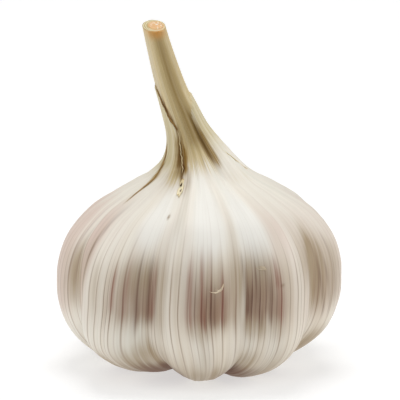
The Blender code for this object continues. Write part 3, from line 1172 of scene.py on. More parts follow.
    def add_cut(self, bench: Bench, skin: Value) -> Value:
        """The sheaths' cut ends, in thin rings round the stalk.

        Args:
            bench: the material.
            skin: the skin without it.

        Returns:
            The skin with the cut.
        """
        cut = bench.attribute("cut")
        place = bench.place()
        grit = bench.noise(place, 1600.0, 3.0)
        rings = abs(((cut * 4.0) % 1.0) - 0.5).ramp(0.0, 0.5) * 0.5 + grit * 0.5
        tone = bench.mix(rings.ramp(0.3, 0.7), self.cut, self.neck)
        tone = bench.mix(((cut - 0.45) + (grit - 0.5) * 0.5).ramp(0.0, 0.4), tone, self.cut_core)
        return bench.mix(cut.ramp(0.0, 0.06), skin, tone)


@dataclass
class WrappedSkin:
    """The skin over the cloves and up the neck, as one closed fine surface."""

    form: BulbForm
    veins_in_clove: int = 9
    columns_in_vein: int = 6
    rows: int = 188
    cut_rows: int = 6
    cut_side: float = 0.45
    bore_rows: int = 3
    vein_jitter: float = 0.018
    vein_wander: float = 0.007
    rib: float = 0.055 * MM
    pleat: float = 0.09 * MM
    dent: float = 0.10 * MM
    valley: float = 0.14 * MM

    def build(self) -> bpy.types.Object:
        """Model the skin, keep its masks in its mesh and dress it.

        Returns:
            The piece.
        """
        rng = np.random.default_rng(SEED)
        lengths = np.linspace(0.0, self.form.length, self.rows)
        degrees, veins = self.columns(rng, lengths)
        body = self.form.skin(lengths[:, None], degrees)
        body = body + normals_of(body) * self.relief(rng, lengths, degrees, veins)[..., None]
        points = keep_inside(self.with_ends(body, degrees))
        made = lay_grid("bulb_skin", points)
        for name, values in self.masks(lengths, degrees).items():
            keep_numbers(made, name, self.padded(values, degrees[-1] if name == "cut" else None))
        close_up(made)
        count = self.veins_in_clove * len(self.form.cloves)
        hand_over(made, SkinFinish(veins=count).make(), Slot.SKIN, "wrapped_bulb")
        return made

    def columns(self, rng: np.random.Generator, lengths: Array) -> tuple[Array, Array]:
        """Angles of the mesh's columns, which follow the wandering veins.

        Args:
            rng: the random draw.
            lengths: the rows' distances along the outline, in mm.

        Returns:
            Angles by row and column, and each column's place counted in veins.
        """
        in_clove = self.veins_in_clove * self.columns_in_vein
        share = np.arange(in_clove) / in_clove
        knots = np.arange(self.veins_in_clove + 1) / self.veins_in_clove
        angles = []
        for number, clove in enumerate(self.form.cloves):
            jitter = rng.uniform(-1, 1, self.veins_in_clove + 1) * self.vein_jitter
            phase = rng.uniform(0, 2 * math.pi, (2, self.veins_in_clove + 1))
            slow = np.sin(lengths[:, None] / 9.0 + phase[0])
            quick = np.sin(lengths[:, None] / 4.1 + phase[1])
            moved = jitter + (slow + 0.6 * quick) * self.vein_wander
            moved[:, [0, -1]] = 0.0
            drift = np.stack([np.interp(share, knots, row) for row in moved])
            even = 2 * (share + drift) - 1
            across = mix(even, np.sin(np.pi * even / 2), 0.5)
            if clove.veins:
                across = np.interp(share + 0.5 * drift, knots, (-1.0, *clove.veins, 1.0))
            angles.append(self.form.creases[number] + clove.width * (across + 1) / 2)
        degrees = np.concatenate(angles, axis=1)
        degrees = np.concatenate([degrees, degrees[:, :1] + 360.0], axis=1)
        return degrees, np.arange(degrees.shape[1]) / self.columns_in_vein

    def relief(self, rng: np.random.Generator, lengths: Array, degrees: Array, veins: Array) -> Array:
        """Fine relief along the normal, in metres: ribs, pleats, dents and the valley.

        Args:
            rng: the random draw.
            lengths: the rows' distances along the outline, in mm.
            degrees: the columns' angles by row.
            veins: each column's place counted in veins.

        Returns:
            Heights by row and column.
        """
        radius, height = (self.form.outline(lengths)[:, k][:, None] for k in (0, 1))
        turn = np.radians(degrees)
        off = np.abs(veins - np.rint(veins))
        crest = np.clip(1 - off * self.columns_in_vein, 0, 1)
        crest = crest + 0.25 * (np.abs(off - 1 / self.columns_in_vein) < 0.01)
        count = int(veins[-1])
        power = rng.uniform(0.3, 1.0, count)[np.rint(veins).astype(int) % count]
        on_body = smoothstep(9.0, 14.0, radius)
        ribs = self.rib * crest * power * on_body * (1 - 0.8 * smoothstep(26, 36, height))
        pleats = np.zeros_like(degrees)
        for count in (23, 31, 44, 57, 73):
            phase, drift = rng.uniform(0, 2 * math.pi, 2)
            slow = np.sin(lengths[:, None] / rng.uniform(5, 9) + drift)
            pleats += np.cos(count * turn + phase + 0.7 * slow) / math.sqrt(count / 23)
        pleats *= self.pleat * (0.125 + 0.3 * window(height, 20, 36, 46, 60)) * smoothstep(8, 16, height)
        dents = np.zeros_like(degrees)
        for count, reach in ((7, 11.0), (13, 7.0), (19, 5.0), (29, 4.0)):
            phase, drift = rng.uniform(0, 2 * math.pi, 2)
            dents += np.cos(count * turn + phase) * np.cos(lengths[:, None] / reach + drift)
        dents *= self.dent * 0.4 * on_body
        valley = NECK_VALLEY.near(height, degrees, mix(12.0, 6.0, window(height, 42, 46, 52, 58)))
        return ribs + pleats + dents - self.valley * valley * window(height, 42, 46, 66, 73)

    def with_ends(self, body: Array, degrees: Array) -> Array:
        """Close the skin under the root plate, over the cut and down the stalk's bore.

        Args:
            body: the skin's points, from the rim round the root plate up to the cut.
            degrees: the columns' angles by row.

        Returns:
            The points of the closed skin.
        """
        form = self.form
        foot = np.broadcast_to(body[0].mean(axis=0), body[0].shape)
        top = degrees[-1]
        bore = form.stalk_radius + form.gap
        centre = form.ring(np.array(bore), np.array(form.neck_top), top, form.stalk_offset)
        rings = [foot[None], body]
        for k in range(1, self.cut_rows):
            share = k / (self.cut_rows - 1)
            ring = mix(body[-1], centre, share)
            layer = 0.09 * MM * (0.5 - 0.5 * math.cos(share * 3 * 2 * math.pi)) * (1 - share**6)
            rings.append((ring - np.array([0, 0, layer]))[None])
        for k in range(1, self.bore_rows + 1):
            height = form.neck_top - form.stalk_depth * k / self.bore_rows
            rings.append(form.ring(np.array(bore), np.array(height), top, form.stalk_offset)[None])
        rings.append(np.broadcast_to(rings[-1][0][:-1].mean(axis=0), body[0].shape)[None])
        return np.concatenate(rings)

    def padded(self, values: Array, across_cut: Array | None) -> Array:
        """Carry a mask over the rows that close the skin: as it was, or rising to 1 across the cut.

        Args:
            values: the mask by row and column.
            across_cut: the top row's angles, for a mask that rises across the cut.

        Returns:
            The mask for the closed skin.
        """
        after = self.cut_rows - 1 + self.bore_rows + 1
        last = np.repeat(values[-1:], after, axis=0)
        if across_cut is not None:
            share = np.clip(np.arange(1, after + 1) / (self.cut_rows - 1), 0, 1)[:, None]
            last = share * (1 + self.cut_side * np.sin(np.radians(across_cut)))
        return np.concatenate([values[:1], values, last])

    def masks(self, lengths: Array, degrees: Array) -> dict[str, Array]:
        """Where each colour of the skin lies, by row and column.

        Args:
            lengths: the rows' distances along the outline, in mm.
            degrees: the columns' angles by row.

        Returns:
            Masks from 0 to 1, and the rise in mm.
        """
        radius, height = (self.form.outline(lengths)[:, k][:, None] + 0 * degrees for k in (0, 1))
        facing = from_front(degrees)
        marks = (*PATCHES, *STREAKS)
        tints = {
            tone: sum(mark.over(height, facing) for mark in marks if mark.tone is tone) for tone in Tone
        }
        belly = self.belly_masks(radius, height, degrees, tints)
        neck = self.neck_masks(height, degrees, tints)
        return {"rise": height, "cut": np.zeros_like(degrees), **belly, **neck}

    def belly_masks(
        self, radius: Array, height: Array, degrees: Array, tints: dict[Tone, Array]
    ) -> dict[str, Array]:
        """Where the colours of the cloves lie.

        Args:
            radius: distance from the middle line, in mm.
            height: height along the middle line, in mm.
            degrees: angle round the bulb.
            tints: the strengths of the patches and streaks.

        Returns:
            Masks from 0 to 1.
        """
        form = self.form
        number, across = form.clove_at(degrees)
        blush = np.stack([clove.blush.over(across) for clove in form.cloves])
        blush = np.take_along_axis(blush, number[None], axis=0)[0]
        rose = form.beside(number, across, "pink") * window(height, 6, 16, 33, 41)
        brown = form.beside(number, across, "brown")
        low_tan = (1 - smoothstep(-1.0, 13.0, height)) * 0.55 + 0.14 - 0.09 * smoothstep(23.0, 31.0, height)
        mid_tan = window(height, 10, 18, 25, 33) * (0.08 + 0.16 * across**2)
        tan = (1 - smoothstep(30, 42, height)) * (low_tan * mix(0.5, 1.2, brown) + mid_tan)
        apart = (1 - np.abs(across)) * radius * math.radians(20)
        foot = bell(apart, mix(2.2, 7.5, brown**2)) * (1 - smoothstep(0.6, 5.5, height)) * 0.9
        return {
            "blush": np.clip(blush, 0, 1),
            "red": np.clip(tints[Tone.RED], 0, 0.9),
            "brown": np.clip(tints[Tone.BROWN], 0, 0.9),
            # Painted highlights and painted light.
            "pale": np.clip(tints[Tone.PALE], 0, 1),
            "rose": np.clip(rose + tints[Tone.MAUVE], 0, 1.2),
            "tan": np.clip(tan + tints[Tone.TAN], 0, 1),
            "foot": foot,
        }

    def neck_masks(self, height: Array, degrees: Array, tints: dict[Tone, Array]) -> dict[str, Array]:
        """Where the colours of the neck and its torn sheath lie.

        Args:
            height: height along the middle line, in mm.
            degrees: angle round the neck.
            tints: the strengths of the patches and streaks.

        Returns:
            Masks from 0 to 1.
        """
        facing = from_front(degrees)
        cover = self.form.sheath_cover(degrees, height * MM)
        past_tear = facing - self.form.tear_edge(height)
        over_line = height - TEAR_LEFT.height_at(facing)
        in_v = window(facing, -28, -24, 30, 36)
        bare = mix(1.0, smoothstep(40.0, 48.5, height), in_v) * (1 - cover) * smoothstep(39.5, 43.0, height)
        left_shade = bell(past_tear, 18.0) * (past_tear < 0) * window(height, 39.2, 43.6, 49, 54)
        # Painted shade down the front of the neck, and more on its right side, where less light falls.
        painted_neck_shade = bell(facing - 12.0, 25.0) * window(height, 45, 49.5, 68, 90) * 0.62
        painted_neck_shade = painted_neck_shade + bell(facing - 56.0, 16.0) * window(height, 57, 62, 90, 99) * 0.25
        # Painted shade in the valley's groove, deepest at its core.
        valley = NECK_VALLEY.near(height, degrees, 8.0) * window(height, 42.5, 46.0, 50.5, 57)
        groove_painted_shade = NECK_VALLEY.near(height, degrees - 1.2, 3.4) * window(height, 43.0, 46, 49, 54)
        gold_valley = NECK_VALLEY.near(height, degrees - 2.0, 8.0) * window(height, 42.5, 46.0, 51.0, 57)
        warm_side = NECK_VALLEY.near(height, degrees - 5.0, 4.5) * window(height, 42.0, 45.5, 48.5, 52)
        tear_line = bell(past_tear, 1.5) * window(height, 40, 42, 61, 63)
        tear_line = tear_line * (1 - 0.55 * window(height, 48.0, 49.0, 50.8, 52.0))
        beside_tear = window(past_tear, -1.5, 1, 5, 12) * window(height, 41.5, 44.0, 48.5, 53.0)
        before_tear = window(past_tear, -10, -2, 0, 1) * window(height, 41.0, 43.8, 47.5, 51.5)
        under_tear = window(past_tear, -0.5, 0.5, 2.5, 5) * window(height, 42.5, 44.5, 47.5, 50.5)
        over_tear = window(over_line, -0.3, 0.3, mix(1.5, 0.9, smoothstep(-46, -28, facing)), 2.9)
        over_tear = over_tear * window(facing, -68, -57, -34, -21)
        margin = LEFT_MARGIN.near(height, degrees, mix(1.2, 4.6, window(height, 38.5, 42, 45, 50)))
        sheath = mix(smoothstep(43.5, 50.0, height), smoothstep(40.5, 46.0, height), facing < -20)
        rim = window(height, 71.0, 73.3, 90, 99) * bell(facing - 5.0, 55.0)
        # Brown stains along the tear and dark specks, and painted shade in the valley's core.
        stain_and_groove_shade = 0.35 * groove_painted_shade + 0.80 * tear_line + 0.60 * under_tear + 0.78 * over_tear
        gold = 0.85 * beside_tear + 0.45 * before_tear + 0.95 * margin
        gold = gold + 0.60 * warm_side + 0.62 * gold_valley
        return {
            "sheath": 0.95 * sheath,
            "bare": np.clip(bare + 0.9 * left_shade, 0, 1),
            "neck_dark": np.clip(0.45 * valley + painted_neck_shade + 0.75 * left_shade, 0, 1),
            "gold": np.clip(gold + tints[Tone.GOLD], 0, 1),
            "stain_and_groove_shade": np.clip(stain_and_groove_shade + tints[Tone.DARK], 0, 1),
            "rust": 0.9 * rim,
        }


# ---- Torn edges and flakes ----


@dataclass(frozen=True)
class HuskFinish:
    """Dry torn husk: cream on its crest and dark brown along its edges; on a rolled edge the dark sides and
    underside are also painted shade.
    """

    name: str
    crest: Colour
    edge: Colour
    roughness: float = 0.5
    gloss: float = 0.3

    def make(self) -> bpy.types.Material:
        """Build the finish.

        Returns:
            The material.
        """
        bench = Bench(self.name)
        place = bench.place()
        grain = bench.noise(place, 900.0, 3.0)
        blots = bench.noise(place, 260.0)
        edge = (bench.attribute("edge") + (grain - 0.5) * 0.7).ramp(0.35, 0.75)
        tone = bench.mix(blots.ramp(0.45, 0.7, 0.0, 0.5), self.crest, self.edge)
        tone = bench.mix(edge, tone, self.edge)
        normal = bench.bump(grain, 0.06 * MM, 0.6)
        roughness = self.roughness + grain * 0.2
        return bench.surface(tone, roughness, Normal=normal, Specular_IOR_Level=self.gloss)


@dataclass(frozen=True)
class RolledEdge:
    """A rolled edge of torn sheath, lying along a line on the skin, sized in mm."""

    name: str
    line: SkinLine
    low: float
    high: float
    half_width: float
    half_height: float
    crest: Colour
    edge: Colour
    thin_end: float = 1.0
    rows: int = 90
    sides: int = 12

    def build(self, form: BulbForm) -> bpy.types.Object:
        """Model the roll and dress it.

        Args:
            form: the skin that it lies on.

        Returns:
            The piece.
        """
        rise = np.linspace(self.low, self.high, self.rows)
        degrees = form.tear_edge(rise) if self.line is TEAR_LEFT else self.line.at(rise)
        centre, normal = form.skin_frame(rise, degrees)
        tangent = np.gradient(centre, axis=0)
        tangent /= np.linalg.norm(tangent, axis=-1, keepdims=True)
        side = np.cross(normal, tangent)
        share = np.linspace(0.0, 1.0, self.rows)
        taper = np.sqrt(np.clip(np.minimum(share / 0.16, (1 - share) / 0.22), 0.0, 1.0))
        ragged = 1 + 0.14 * np.sin(share * 23.0 + 0.6) + 0.10 * np.sin(share * 61.0)
        turn = np.linspace(0.0, 2 * math.pi, self.sides + 1)
        thinned = mix(1.0, self.thin_end, smoothstep(0.1, 0.6, share))
        width = (self.half_width * MM * taper * ragged * thinned)[:, None, None]
        height = (self.half_height * MM * taper * thinned)[:, None, None]
        around = side[:, None] * np.cos(turn)[None, :, None] * width
        above = normal[:, None] * (np.sin(turn)[None, :, None] * height + 0.25 * height)
        points = keep_inside(centre[:, None] + around + above)
        made = lay_grid(self.name, points)
        # Dark below the crest: the torn edge's brown, and painted shade on the roll's sides and underside.
        keep_numbers(made, "edge", np.broadcast_to(1 - np.clip(np.sin(turn), 0, 1), points.shape[:2]))
        close_up(made, 2e-6)
        hand_over(made, HuskFinish(self.name, self.crest, self.edge).make(), Slot.SKIN)
        return made


@dataclass(frozen=True)
class Flake:
    """A thin chip of outer skin that has lifted off the belly, sized in mm."""

    name: str
    height: float
    degrees: float
    wide: float
    tall: float
    lift: float
    slant: float
    crest: Colour = (0.78, 0.70, 0.52)
    edge: Colour = (0.50, 0.36, 0.20)
    hook: float = 0.0
    base: float = 0.06
    rows: int = 15
    columns: int = 13
    thickness: float = 0.05 * MM

    def build(self, form: BulbForm) -> bpy.types.Object:
        """Model the chip and dress it.

        Args:
            form: the skin that it comes off.

        Returns:
            The piece.
        """
        rng = np.random.default_rng(SEED + len(self.name))
        across, up = np.meshgrid(np.linspace(-1, 1, self.columns), np.linspace(-1, 1, self.rows))
        reach = 1 / np.maximum(np.hypot(across, up), 1.0)
        turn = np.arctan2(up, across)
        ragged = 1 + sum(0.09 * np.cos(k * turn + rng.uniform(0, 6.3)) for k in (2, 3, 5, 8))
        x = across * reach * ragged * self.wide / 2 + up * self.slant
        y = up * reach * ragged * self.tall / 2 + self.hook * np.clip(across, 0.0, 1.0) ** 2
        height = self.height + y
        degrees = self.degrees + np.degrees(x / form.outline(form.length_at(self.height))[0])
        points, normal = form.skin_frame(height, degrees)
        curl = smoothstep(-0.6, 1.0, -up * 0.8 + across * 0.5)
        rise = self.base + self.lift * curl**1.5 + 0.05 * np.sin(3 * across + 2 * up)
        made = lay_grid(self.name, keep_inside(points + normal * rise[..., None] * MM))
        border = np.maximum(np.abs(across), np.abs(up))
        keep_numbers(made, "edge", smoothstep(0.55, 1.0, border) * 0.7)
        start_alone(made)
        shell = made.modifiers.new("paper", "SOLIDIFY")
        shell.thickness = self.thickness
        bpy.ops.object.modifier_apply(modifier=shell.name)
        bpy.ops.object.shade_smooth()
        hand_over(made, HuskFinish(self.name, self.crest, self.edge).make(), Slot.SKIN)
        return made


# ---- Cut stalk ----


@dataclass(frozen=True)
class PithFinish:
    """Dried pith: peach, with pale spots, darker rings and an orange-brown rim."""

    peach: Colour = (0.76, 0.46, 0.22)
    pale: Colour = (0.86, 0.76, 0.62)
    ring: Colour = (0.62, 0.42, 0.18)
    rust: Colour = (0.40, 0.16, 0.05)

    def make(self) -> bpy.types.Material:
        """Build the finish.

        Returns:
            The material.
        """
        bench = Bench("cut_pith")
        place = bench.place()
        spots = bench.noise(place, 1500.0)
        pores = bench.node("ShaderNodeTexVoronoi", {}, {"Vector": place, "Scale": 2600.0})
        reach = bench.attribute("reach")
        tone = bench.mix(spots.ramp(0.54, 0.62), self.peach, self.pale)
        patchy = bench.noise(place, 700.0)
        ring = reach.ramp(0.74, 0.98) + (spots - 0.5) * 0.8 + (patchy - 0.5) * 1.2
        tone = bench.mix(ring.ramp(0.35, 1.0, 0.0, 0.75), tone, self.ring)
        tone = bench.mix(pores.ramp(0.34, 0.12, 0.0, 0.65) * spots.ramp(0.50, 0.38), tone, self.rust)
        normal = bench.bump(pores, 0.05 * MM, 0.5)
        return bench.surface(tone, 0.6 + spots * 0.2, Normal=normal)


@dataclass
class CutStalk:
    """The flower stalk inside the sheaths, cut across with them, its pith a little proud."""

    form: BulbForm
    sides: int = 40
    steps: tuple[tuple[float, float], ...] = (
        (0.07, 0.06), (0.10, 0.03), (0.16, -0.02), (0.16, 0.03), (0.18, -0.03), (0.18, 0.04), (0.16, -0.05),
    )
    belt_heights: tuple[float, ...] = (-12.0, -8.0, -6.0, -4.5, -3.0, -2.0, -1.0, -0.4)
    grain: float = 0.035 * MM
    proud: float = 0.12 * MM
    flare: float = 0.20
    flare_reach: float = 1.6 * MM
    rim: float = 0.97
    pit_place: tuple[float, float] = (0.55, 0.35)
    pit_reach: float = 0.28
    pit_depth: float = 0.22 * MM
    smooth: float = 40.0

    def build(self) -> bpy.types.Object:
        """Turn the stalk upright, then lean it with the neck and dress it.

        Returns:
            The piece.
        """
        form = self.form
        depth = form.stalk_depth - form.gap
        made = add_cylinder("cut_pith", self.sides, form.stalk_radius, depth, form.neck_top - depth / 2)
        self.shape_cut(made)
        self.lean(made)
        hand_over(made, PithFinish().make(), Slot.STALK, "flower_stalk")
        return made

    def shape_cut(self, made: bpy.types.Object) -> None:
        """Belt the wall, and step the cut face inwards in rings.

        Args:
            made: the upright stalk.
        """
        bpy.ops.object.mode_set(mode="EDIT")
        for height in self.belt_heights:
            bpy.ops.mesh.select_all(action="SELECT")
            bpy.ops.mesh.bisect(plane_co=(0, 0, self.form.neck_top + height * MM), plane_no=(0, 0, 1))
        bpy.ops.mesh.select_all(action="DESELECT")
        bpy.ops.object.mode_set(mode="OBJECT")
        edit_end(made, 1)
        for inward, rise in self.steps:
            bpy.ops.mesh.inset(thickness=inward * MM, depth=rise * MM)
        close_end()

    def lean(self, made: bpy.types.Object) -> None:
        """Roughen the cut, sink its pit and put the stalk on the leaning middle line.

        Args:
            made: the upright stalk.
        """
        form = self.form
        rng = np.random.default_rng(SEED + 2)
        x, y, z = places_of(made).T
        reach = np.hypot(x, y) / form.stalk_radius
        on_cut = smoothstep(-0.3, 0.0, (z - form.neck_top) / MM)
        away = np.hypot(x / MM - self.pit_place[0], y / MM - self.pit_place[1])
        rough = rng.normal(0.0, self.grain, len(z)) - self.pit_depth * bell(away, self.pit_reach)
        height = np.minimum(z + on_cut * rough * (reach < self.rim), form.neck_top + self.proud)
        flare = 1 + self.flare * smoothstep(-self.flare_reach, 0.0, height - form.neck_top)
        put_places(made, keep_inside(form.place(x * flare + form.stalk_offset, y * flare, height)))
        keep_numbers(made, "reach", np.where(on_cut > 0.5, np.clip(reach, 0, 1), 1.0))
        smooth_by(made, self.smooth)


# ---- Root plate and roots ----


@dataclass(frozen=True)
class RootFinish:
    """Dried stem and roots: fibrous brown with paler ends."""

    name: str
    brown: Colour
    pale: Colour

    def make(self) -> bpy.types.Material:
        """Build the finish.

        Returns:
            The material.
        """
        bench = Bench(self.name)
        place = bench.place()
        stretched = bench.node("ShaderNodeMapping", {}, {"Vector": place, "Scale": (1.0, 1.0, 0.25)})
        fibres = bench.noise(stretched, 1400.0, 4.0)
        blots = bench.noise(place, 380.0, 3.0)
        tone = bench.mix(fibres.ramp(0.42, 0.62), self.brown, self.pale)
        tone = bench.mix(blots.ramp(0.48, 0.65, 0.0, 0.6), tone, self.brown)
        normal = bench.bump(fibres, 0.12 * MM, 0.8)
        return bench.surface(tone, 0.75 + blots * 0.2, Normal=normal)


@dataclass
class RootPlate:
    """The low disc of old stem under the bulb, and the roots clipped off short below it."""

    form: BulbForm
    top: float = 3.1 * MM
    radius: float = 7.0 * MM
    edge: float = 1.7 * MM
    dish: float = 1.1 * MM
    disc_sides: int = 72
    rim_step: tuple[float, float] = (0.35 * MM, 0.12 * MM)
    scar_rings: int = 9
    scar_width: float = 0.66 * MM
    worn: float = 0.98
    rings: tuple[tuple[float, int], ...] = ((1.9, 5), (4.0, 10), (5.9, 15))
    ring_turn: float = 0.37
    root_sides: int = 9
    waists: tuple[float, ...] = (0.92, 0.98, 0.88, 1.12)
    root_top: float = 2.4 * MM
    root_foot: float = 0.45 * MM
    root_radius: float = 0.5 * MM
    thin_roots: int = 46
    thin_radius: float = 0.17 * MM
    thin_reach: float = 6.6 * MM
    finishes: tuple[RootFinish, ...] = (
        RootFinish("root_disc", (0.30, 0.20, 0.11), (0.56, 0.44, 0.30)),
        RootFinish("roots", (0.34, 0.235, 0.14), (0.66, 0.55, 0.40)),
    )

    def build(self) -> list[bpy.types.Object]:
        """Model the disc and the roots, and dress them.

        Returns:
            The pieces.
        """
        pieces = [self.disc(), self.roots()]
        for piece, finish in zip(pieces, self.finishes):
            hand_over(piece, finish.make(), Slot.ROOTS, "root_plate")
        return pieces

    def disc(self) -> bpy.types.Object:
        """The disc, dished underneath, with a worn edge and scars in rings.

        Returns:
            The disc.
        """
        depth, middle = self.top - self.edge, (self.top + self.edge) / 2
        made = add_cylinder("root_disc", self.disc_sides, self.radius, depth, middle)
        edit_end(made, -1)
        for thickness, step in (self.rim_step, *((self.scar_width, 0.0),) * self.scar_rings):
            bpy.ops.mesh.inset(thickness=thickness, depth=step)
        close_end()
        points = places_of(made)
        x, y, z = points.T
        reach = np.hypot(x, y) / self.radius
        turn = np.arctan2(y, x)
        scars = 0.10 * MM * np.sin(reach * 34.0) + 0.07 * MM * np.sin(turn * 17 + reach * 9)
        under = mix(self.dish, self.edge, reach**2) + scars * (reach < 0.97)
        points[:, 2] = np.where(z < middle, under, z)
        wavy = 1 + 0.012 * np.sin(turn * 9) + 0.008 * np.sin(turn * 23 + 1)
        points[:, :2] = points[:, :2] * wavy[:, None] * self.worn + self.middle()
        put_places(made, points)
        smooth_by(made, 50)
        return made

    def middle(self) -> Array:
        """Where the disc's middle stands."""
        return self.form.place(np.zeros(1), np.zeros(1), np.full(1, self.edge))[0, :2]

    def root(self) -> bpy.types.Object:
        """One root, 1 m across and 1 m long, with waists along it and a frayed, hollowed end.

        Returns:
            The root.
        """
        length = 1.0 / (len(self.waists) + 1)
        made = add_cylinder("root", self.root_sides, 0.5, length, 1.0 - length / 2)
        edit_end(made, -1)
        for size in self.waists:
            bpy.ops.mesh.extrude_region_move(TRANSFORM_OT_translate={"value": (0, 0, -length)})
            bpy.ops.transform.resize(value=(size, size, 1.0))
        for thickness, step in ((0.12, 0.0), (0.10, -0.10)):
            bpy.ops.mesh.inset(thickness=thickness, depth=step)
        close_end()
        smooth_by(made, 60)
        return made

    def roots(self) -> bpy.types.Object:
        """Every root, as copies of one, clipped to uneven lengths and joined.

        Returns:
            The joined roots.
        """
        rng = np.random.default_rng(SEED + 3)
        pattern = self.root()
        copies = []
        for ring, (distance, count) in enumerate(self.rings):
            for k in range(count):
                turn = 2 * math.pi * (k + self.ring_turn * ring) / count
                copies.append(self.copy_root(pattern, rng, distance * MM, turn, self.root_radius))
        for _ in range(self.thin_roots):
            distance = math.sqrt(rng.uniform(0.03, 0.9)) * self.thin_reach
            turn = rng.uniform(0, 2 * math.pi)
            copies.append(self.copy_root(pattern, rng, distance, turn, self.thin_radius))
        bpy.data.objects.remove(pattern)
        start_alone(copies[0])
        for copy in copies:
            copy.select_set(True)
        bpy.ops.object.join()
        made = bpy.context.object
        made.name = made.data.name = "clipped_roots"
        return made

    def copy_root(
        self,
        pattern: bpy.types.Object,
        rng: np.random.Generator,
        distance: float,
        turn: float,
        radius: float,
    ) -> bpy.types.Object:
        """Place one copy of the root.

        Args:
            pattern: the root to copy.
            rng: the random draw.
            distance: how far from the disc's middle, in metres.
            turn: the angle that it stands at, in radians.
            radius: its radius in metres.

        Returns:
            The copy, its place in its mesh.
        """
        copy = pattern.copy()
        copy.data = pattern.data.copy()
        bpy.context.scene.collection.objects.link(copy)
        x, y, z = places_of(copy).T
        foot = self.root_foot + rng.uniform(0.0, 0.5) * MM
        drop = 1 - z
        spin = rng.uniform(0, 2 * math.pi)
        size = 2 * radius * rng.uniform(0.8, 1.1)
        out = distance + rng.uniform(0.1, 0.5) * MM * drop**2
        lean = rng.uniform(-0.35, 0.35) * MM * drop
        across, away = turned(out, lean, turn) + turned(x, y, spin) * size + self.middle()[:, None]
        put_places(copy, keep_inside(np.stack([across, away, mix(self.root_top, foot, drop)], axis=-1)))
        return copy


# ---- Studio ----


def stand(holder: bpy.types.Object, place: Vector, look: Vector) -> None:
    """Put a light or a camera in the scene, at a place and looking along a direction.

    Args:
        holder: the light or the camera.
        place: where it stands.
        look: the direction that it faces.
    """
    bpy.context.scene.collection.objects.link(holder)
    holder.location = place
    holder.rotation_euler = look.to_track_quat("-Z", "Y").to_euler()


@dataclass(frozen=True)
class SoftBox:
    """A rectangular light that faces a point above the origin, its power in watts."""

    name: str
    place: tuple[float, float, float]
    aim_height: float
    size: tuple[float, float]
    power: float

    def hang(self) -> None:
        """Add the light."""
        lamp = bpy.data.lights.new(self.name, "AREA")
        lamp.shape = "RECTANGLE"
        lamp.size, lamp.size_y = self.size
        lamp.energy = self.power
        holder = bpy.data.objects.new(self.name, lamp)
        holder.visible_camera = False
        place = Vector(self.place)
        stand(holder, place, Vector((0.0, 0.0, self.aim_height)) - place)


@dataclass
class Studio:
    """A pale floor, soft boxes round the bulb and the camera in front of it."""

    camera_distance: float = 0.6
    camera_rise: float = math.radians(13.0)
    lens: float = 257.0
    sensor: float = 36.0
    aim_share: float = 0.483
    aim_across: float = 0.25 * MM
    floor_size: float = 4.0
    floor_gap: float = 0.03 * MM
    floor_shade: float = 0.48
    # How bright the floor glows near the bulb, further out and far away: painted light, dimmest round the
    # bulb as a painted shadow.
    floor_glow_and_painted_shadow: tuple[float, float, float] = (0.58, 0.635, 0.88)
    soft_boxes: tuple[SoftBox, ...] = (
        SoftBox("soft_box_above", (0.0, 0.07, 0.5), 0.03, (0.24, 0.24), 1.4),
        SoftBox("soft_box_front", (0.0, -0.32, 0.40), 0.03, (0.7, 0.5), 1.0),
        SoftBox("soft_box_left", (-0.42, 0.04, 0.12), 0.02, (0.25, 0.4), 0.85),
        SoftBox("soft_box_right", (0.42, 0.04, 0.12), 0.02, (0.25, 0.4), 0.85),
    )
    room_light: float = 0.05

    def build(self) -> None:
        """Set up the floor, the lights, the room and the camera."""
        self.lay_floor()
        for box in self.soft_boxes:
            box.hang()
        self.fill_room()
        self.place_camera()

    def lay_floor(self) -> None:
        """A pale floor that glows, least round the bulb as a painted shadow, so that it stays white but
        takes a soft shadow.
        """
        start_alone()
        level = CAD_BOX[0][2] - self.floor_gap
        bpy.ops.mesh.primitive_plane_add(size=self.floor_size, location=(0.0, 0.0, level))
        floor = bpy.context.object
        floor.name = "floor"
        bpy.ops.object.transform_apply(location=True, rotation=True, scale=True)
        bench = Bench("floor")
        place = bench.place()
        away = bench.node("ShaderNodeVectorMath", {"operation": "LENGTH"}, {0: place}, out=1)
        near, middle, far = self.floor_glow_and_painted_shadow
        # The floor glows as painted light and lights the bulb from below; it glows least round the bulb, as
        # a painted shadow.
        glow_and_painted_shadow = away.ramp(0.02, 0.085, near, middle) + away.ramp(0.085, 0.6, 0.0, far - middle)
        pale = bench.node("ShaderNodeCombineXYZ", {}, {0: glow_and_painted_shadow, 1: glow_and_painted_shadow, 2: glow_and_painted_shadow})
        glowing = {"Emission_Color": pale, "Emission_Strength": 1.0, "Specular_IOR_Level": 0.0}
        floor.data.materials.append(bench.surface((self.floor_shade,) * 3, 0.9, **glowing))

    def fill_room(self) -> None:
        """A dim even room."""
        world = bpy.data.worlds.new("room")
        world.use_nodes = True
        background = world.node_tree.nodes["Background"]
        background.inputs["Color"].default_value = (1.0, 1.0, 1.0, 1.0)
        background.inputs["Strength"].default_value = self.room_light
        bpy.context.scene.world = world

    def place_camera(self) -> None:
        """The camera in front, looking a little down."""
        low, high = (Vector(corner) for corner in CAD_BOX)
        aim = Vector((self.aim_across, 0.0, low.z + (high.z - low.z) * self.aim_share))
        away = Vector((0.0, -math.cos(self.camera_rise), math.sin(self.camera_rise)))
        lens = bpy.data.cameras.new("camera")
        lens.lens = self.lens
        lens.sensor_width = self.sensor
        lens.clip_start = 0.01
        camera = bpy.data.objects.new("camera", lens)
        stand(camera, aim + away * self.camera_distance, -away)
        bpy.context.scene.camera = camera
        bpy.context.scene.view_settings.view_transform = "Standard"


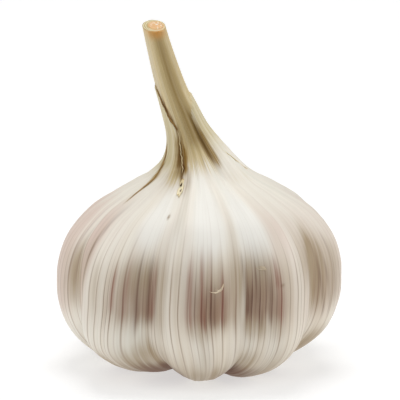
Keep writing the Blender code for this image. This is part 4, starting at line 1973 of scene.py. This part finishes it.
ROLLED_EDGES = (
    RolledEdge(
        "torn_sheath_edge", TEAR_LEFT, 43.0, 52.4, 0.12, 0.15, (0.70, 0.57, 0.32), (0.22, 0.11, 0.03)
    ),
    RolledEdge(
        "torn_sheath_tip", TEAR_LEFT, 51.6, 62.4, 0.25, 0.14, (0.34, 0.19, 0.05), (0.11, 0.045, 0.006), 0.5
    ),
    RolledEdge(
        "left_skin_margin", LEFT_MARGIN, 36.8, 49.4, 0.24, 0.11, (0.36, 0.22, 0.07), (0.17, 0.09, 0.03)
    ),
    RolledEdge(
        "right_skin_margin", RIGHT_MARGIN, 41.0, 45.6, 0.13, 0.13, (0.78, 0.70, 0.48), (0.60, 0.47, 0.25)
    ),
)

FLAKES = (
    Flake(
        "lifted_flake_front", 23.0, 6.4, 2.6, 0.75, 0.26, 0.1,
        (0.76, 0.65, 0.48), (0.58, 0.44, 0.3), hook=1.3
    ),
    Flake("lifted_flake_upper", 26.6, 26.4, 1.7, 0.9, 0.22, -0.2, (0.64, 0.54, 0.40), (0.46, 0.36, 0.24)),
    Flake("golden_husk_tip", 40.4, -19.3, 1.05, 2.7, 0.2, -0.12, (0.88, 0.79, 0.55), (0.52, 0.37, 0.14)),
    Flake(
        "dark_husk_speck", 40.8, -19.9, 0.4, 0.6, 0.1, 0.0,
        (0.1, 0.055, 0.02), (0.06, 0.03, 0.01), base=0.24
    ),
    Flake(
        "small_husk_speck", 39.9, -18.5, 0.26, 0.4, 0.06, 0.0,
        (0.16, 0.09, 0.03), (0.1, 0.05, 0.02), base=0.2
    ),
)


def centred_form() -> BulbForm:
    """The bulb's form, moved so that the middle of its outline stands over the origin.

    Returns:
        The form.
    """
    form = BulbForm()
    lengths = np.linspace(0.0, form.length, 240)
    points = form.skin(lengths[:, None], np.arange(0.0, 360.0, 0.5)[None])
    middle = (points.min(axis=(0, 1)) + points.max(axis=(0, 1))) / 2
    form.shift = np.array([-middle[0], -middle[1], 0.0])
    return form


def main() -> None:
    """Build every piece in order."""
    logging.basicConfig(level=logging.INFO, format="%(name)s: %(message)s")
    Studio().build()
    form = centred_form()
    WrappedSkin(form).build()
    for edge in ROLLED_EDGES:
        edge.build(form)
    for flake in FLAKES:
        flake.build(form)
    CutStalk(form).build()
    RootPlate(form).build()


if __name__ == "__main__":
    main()
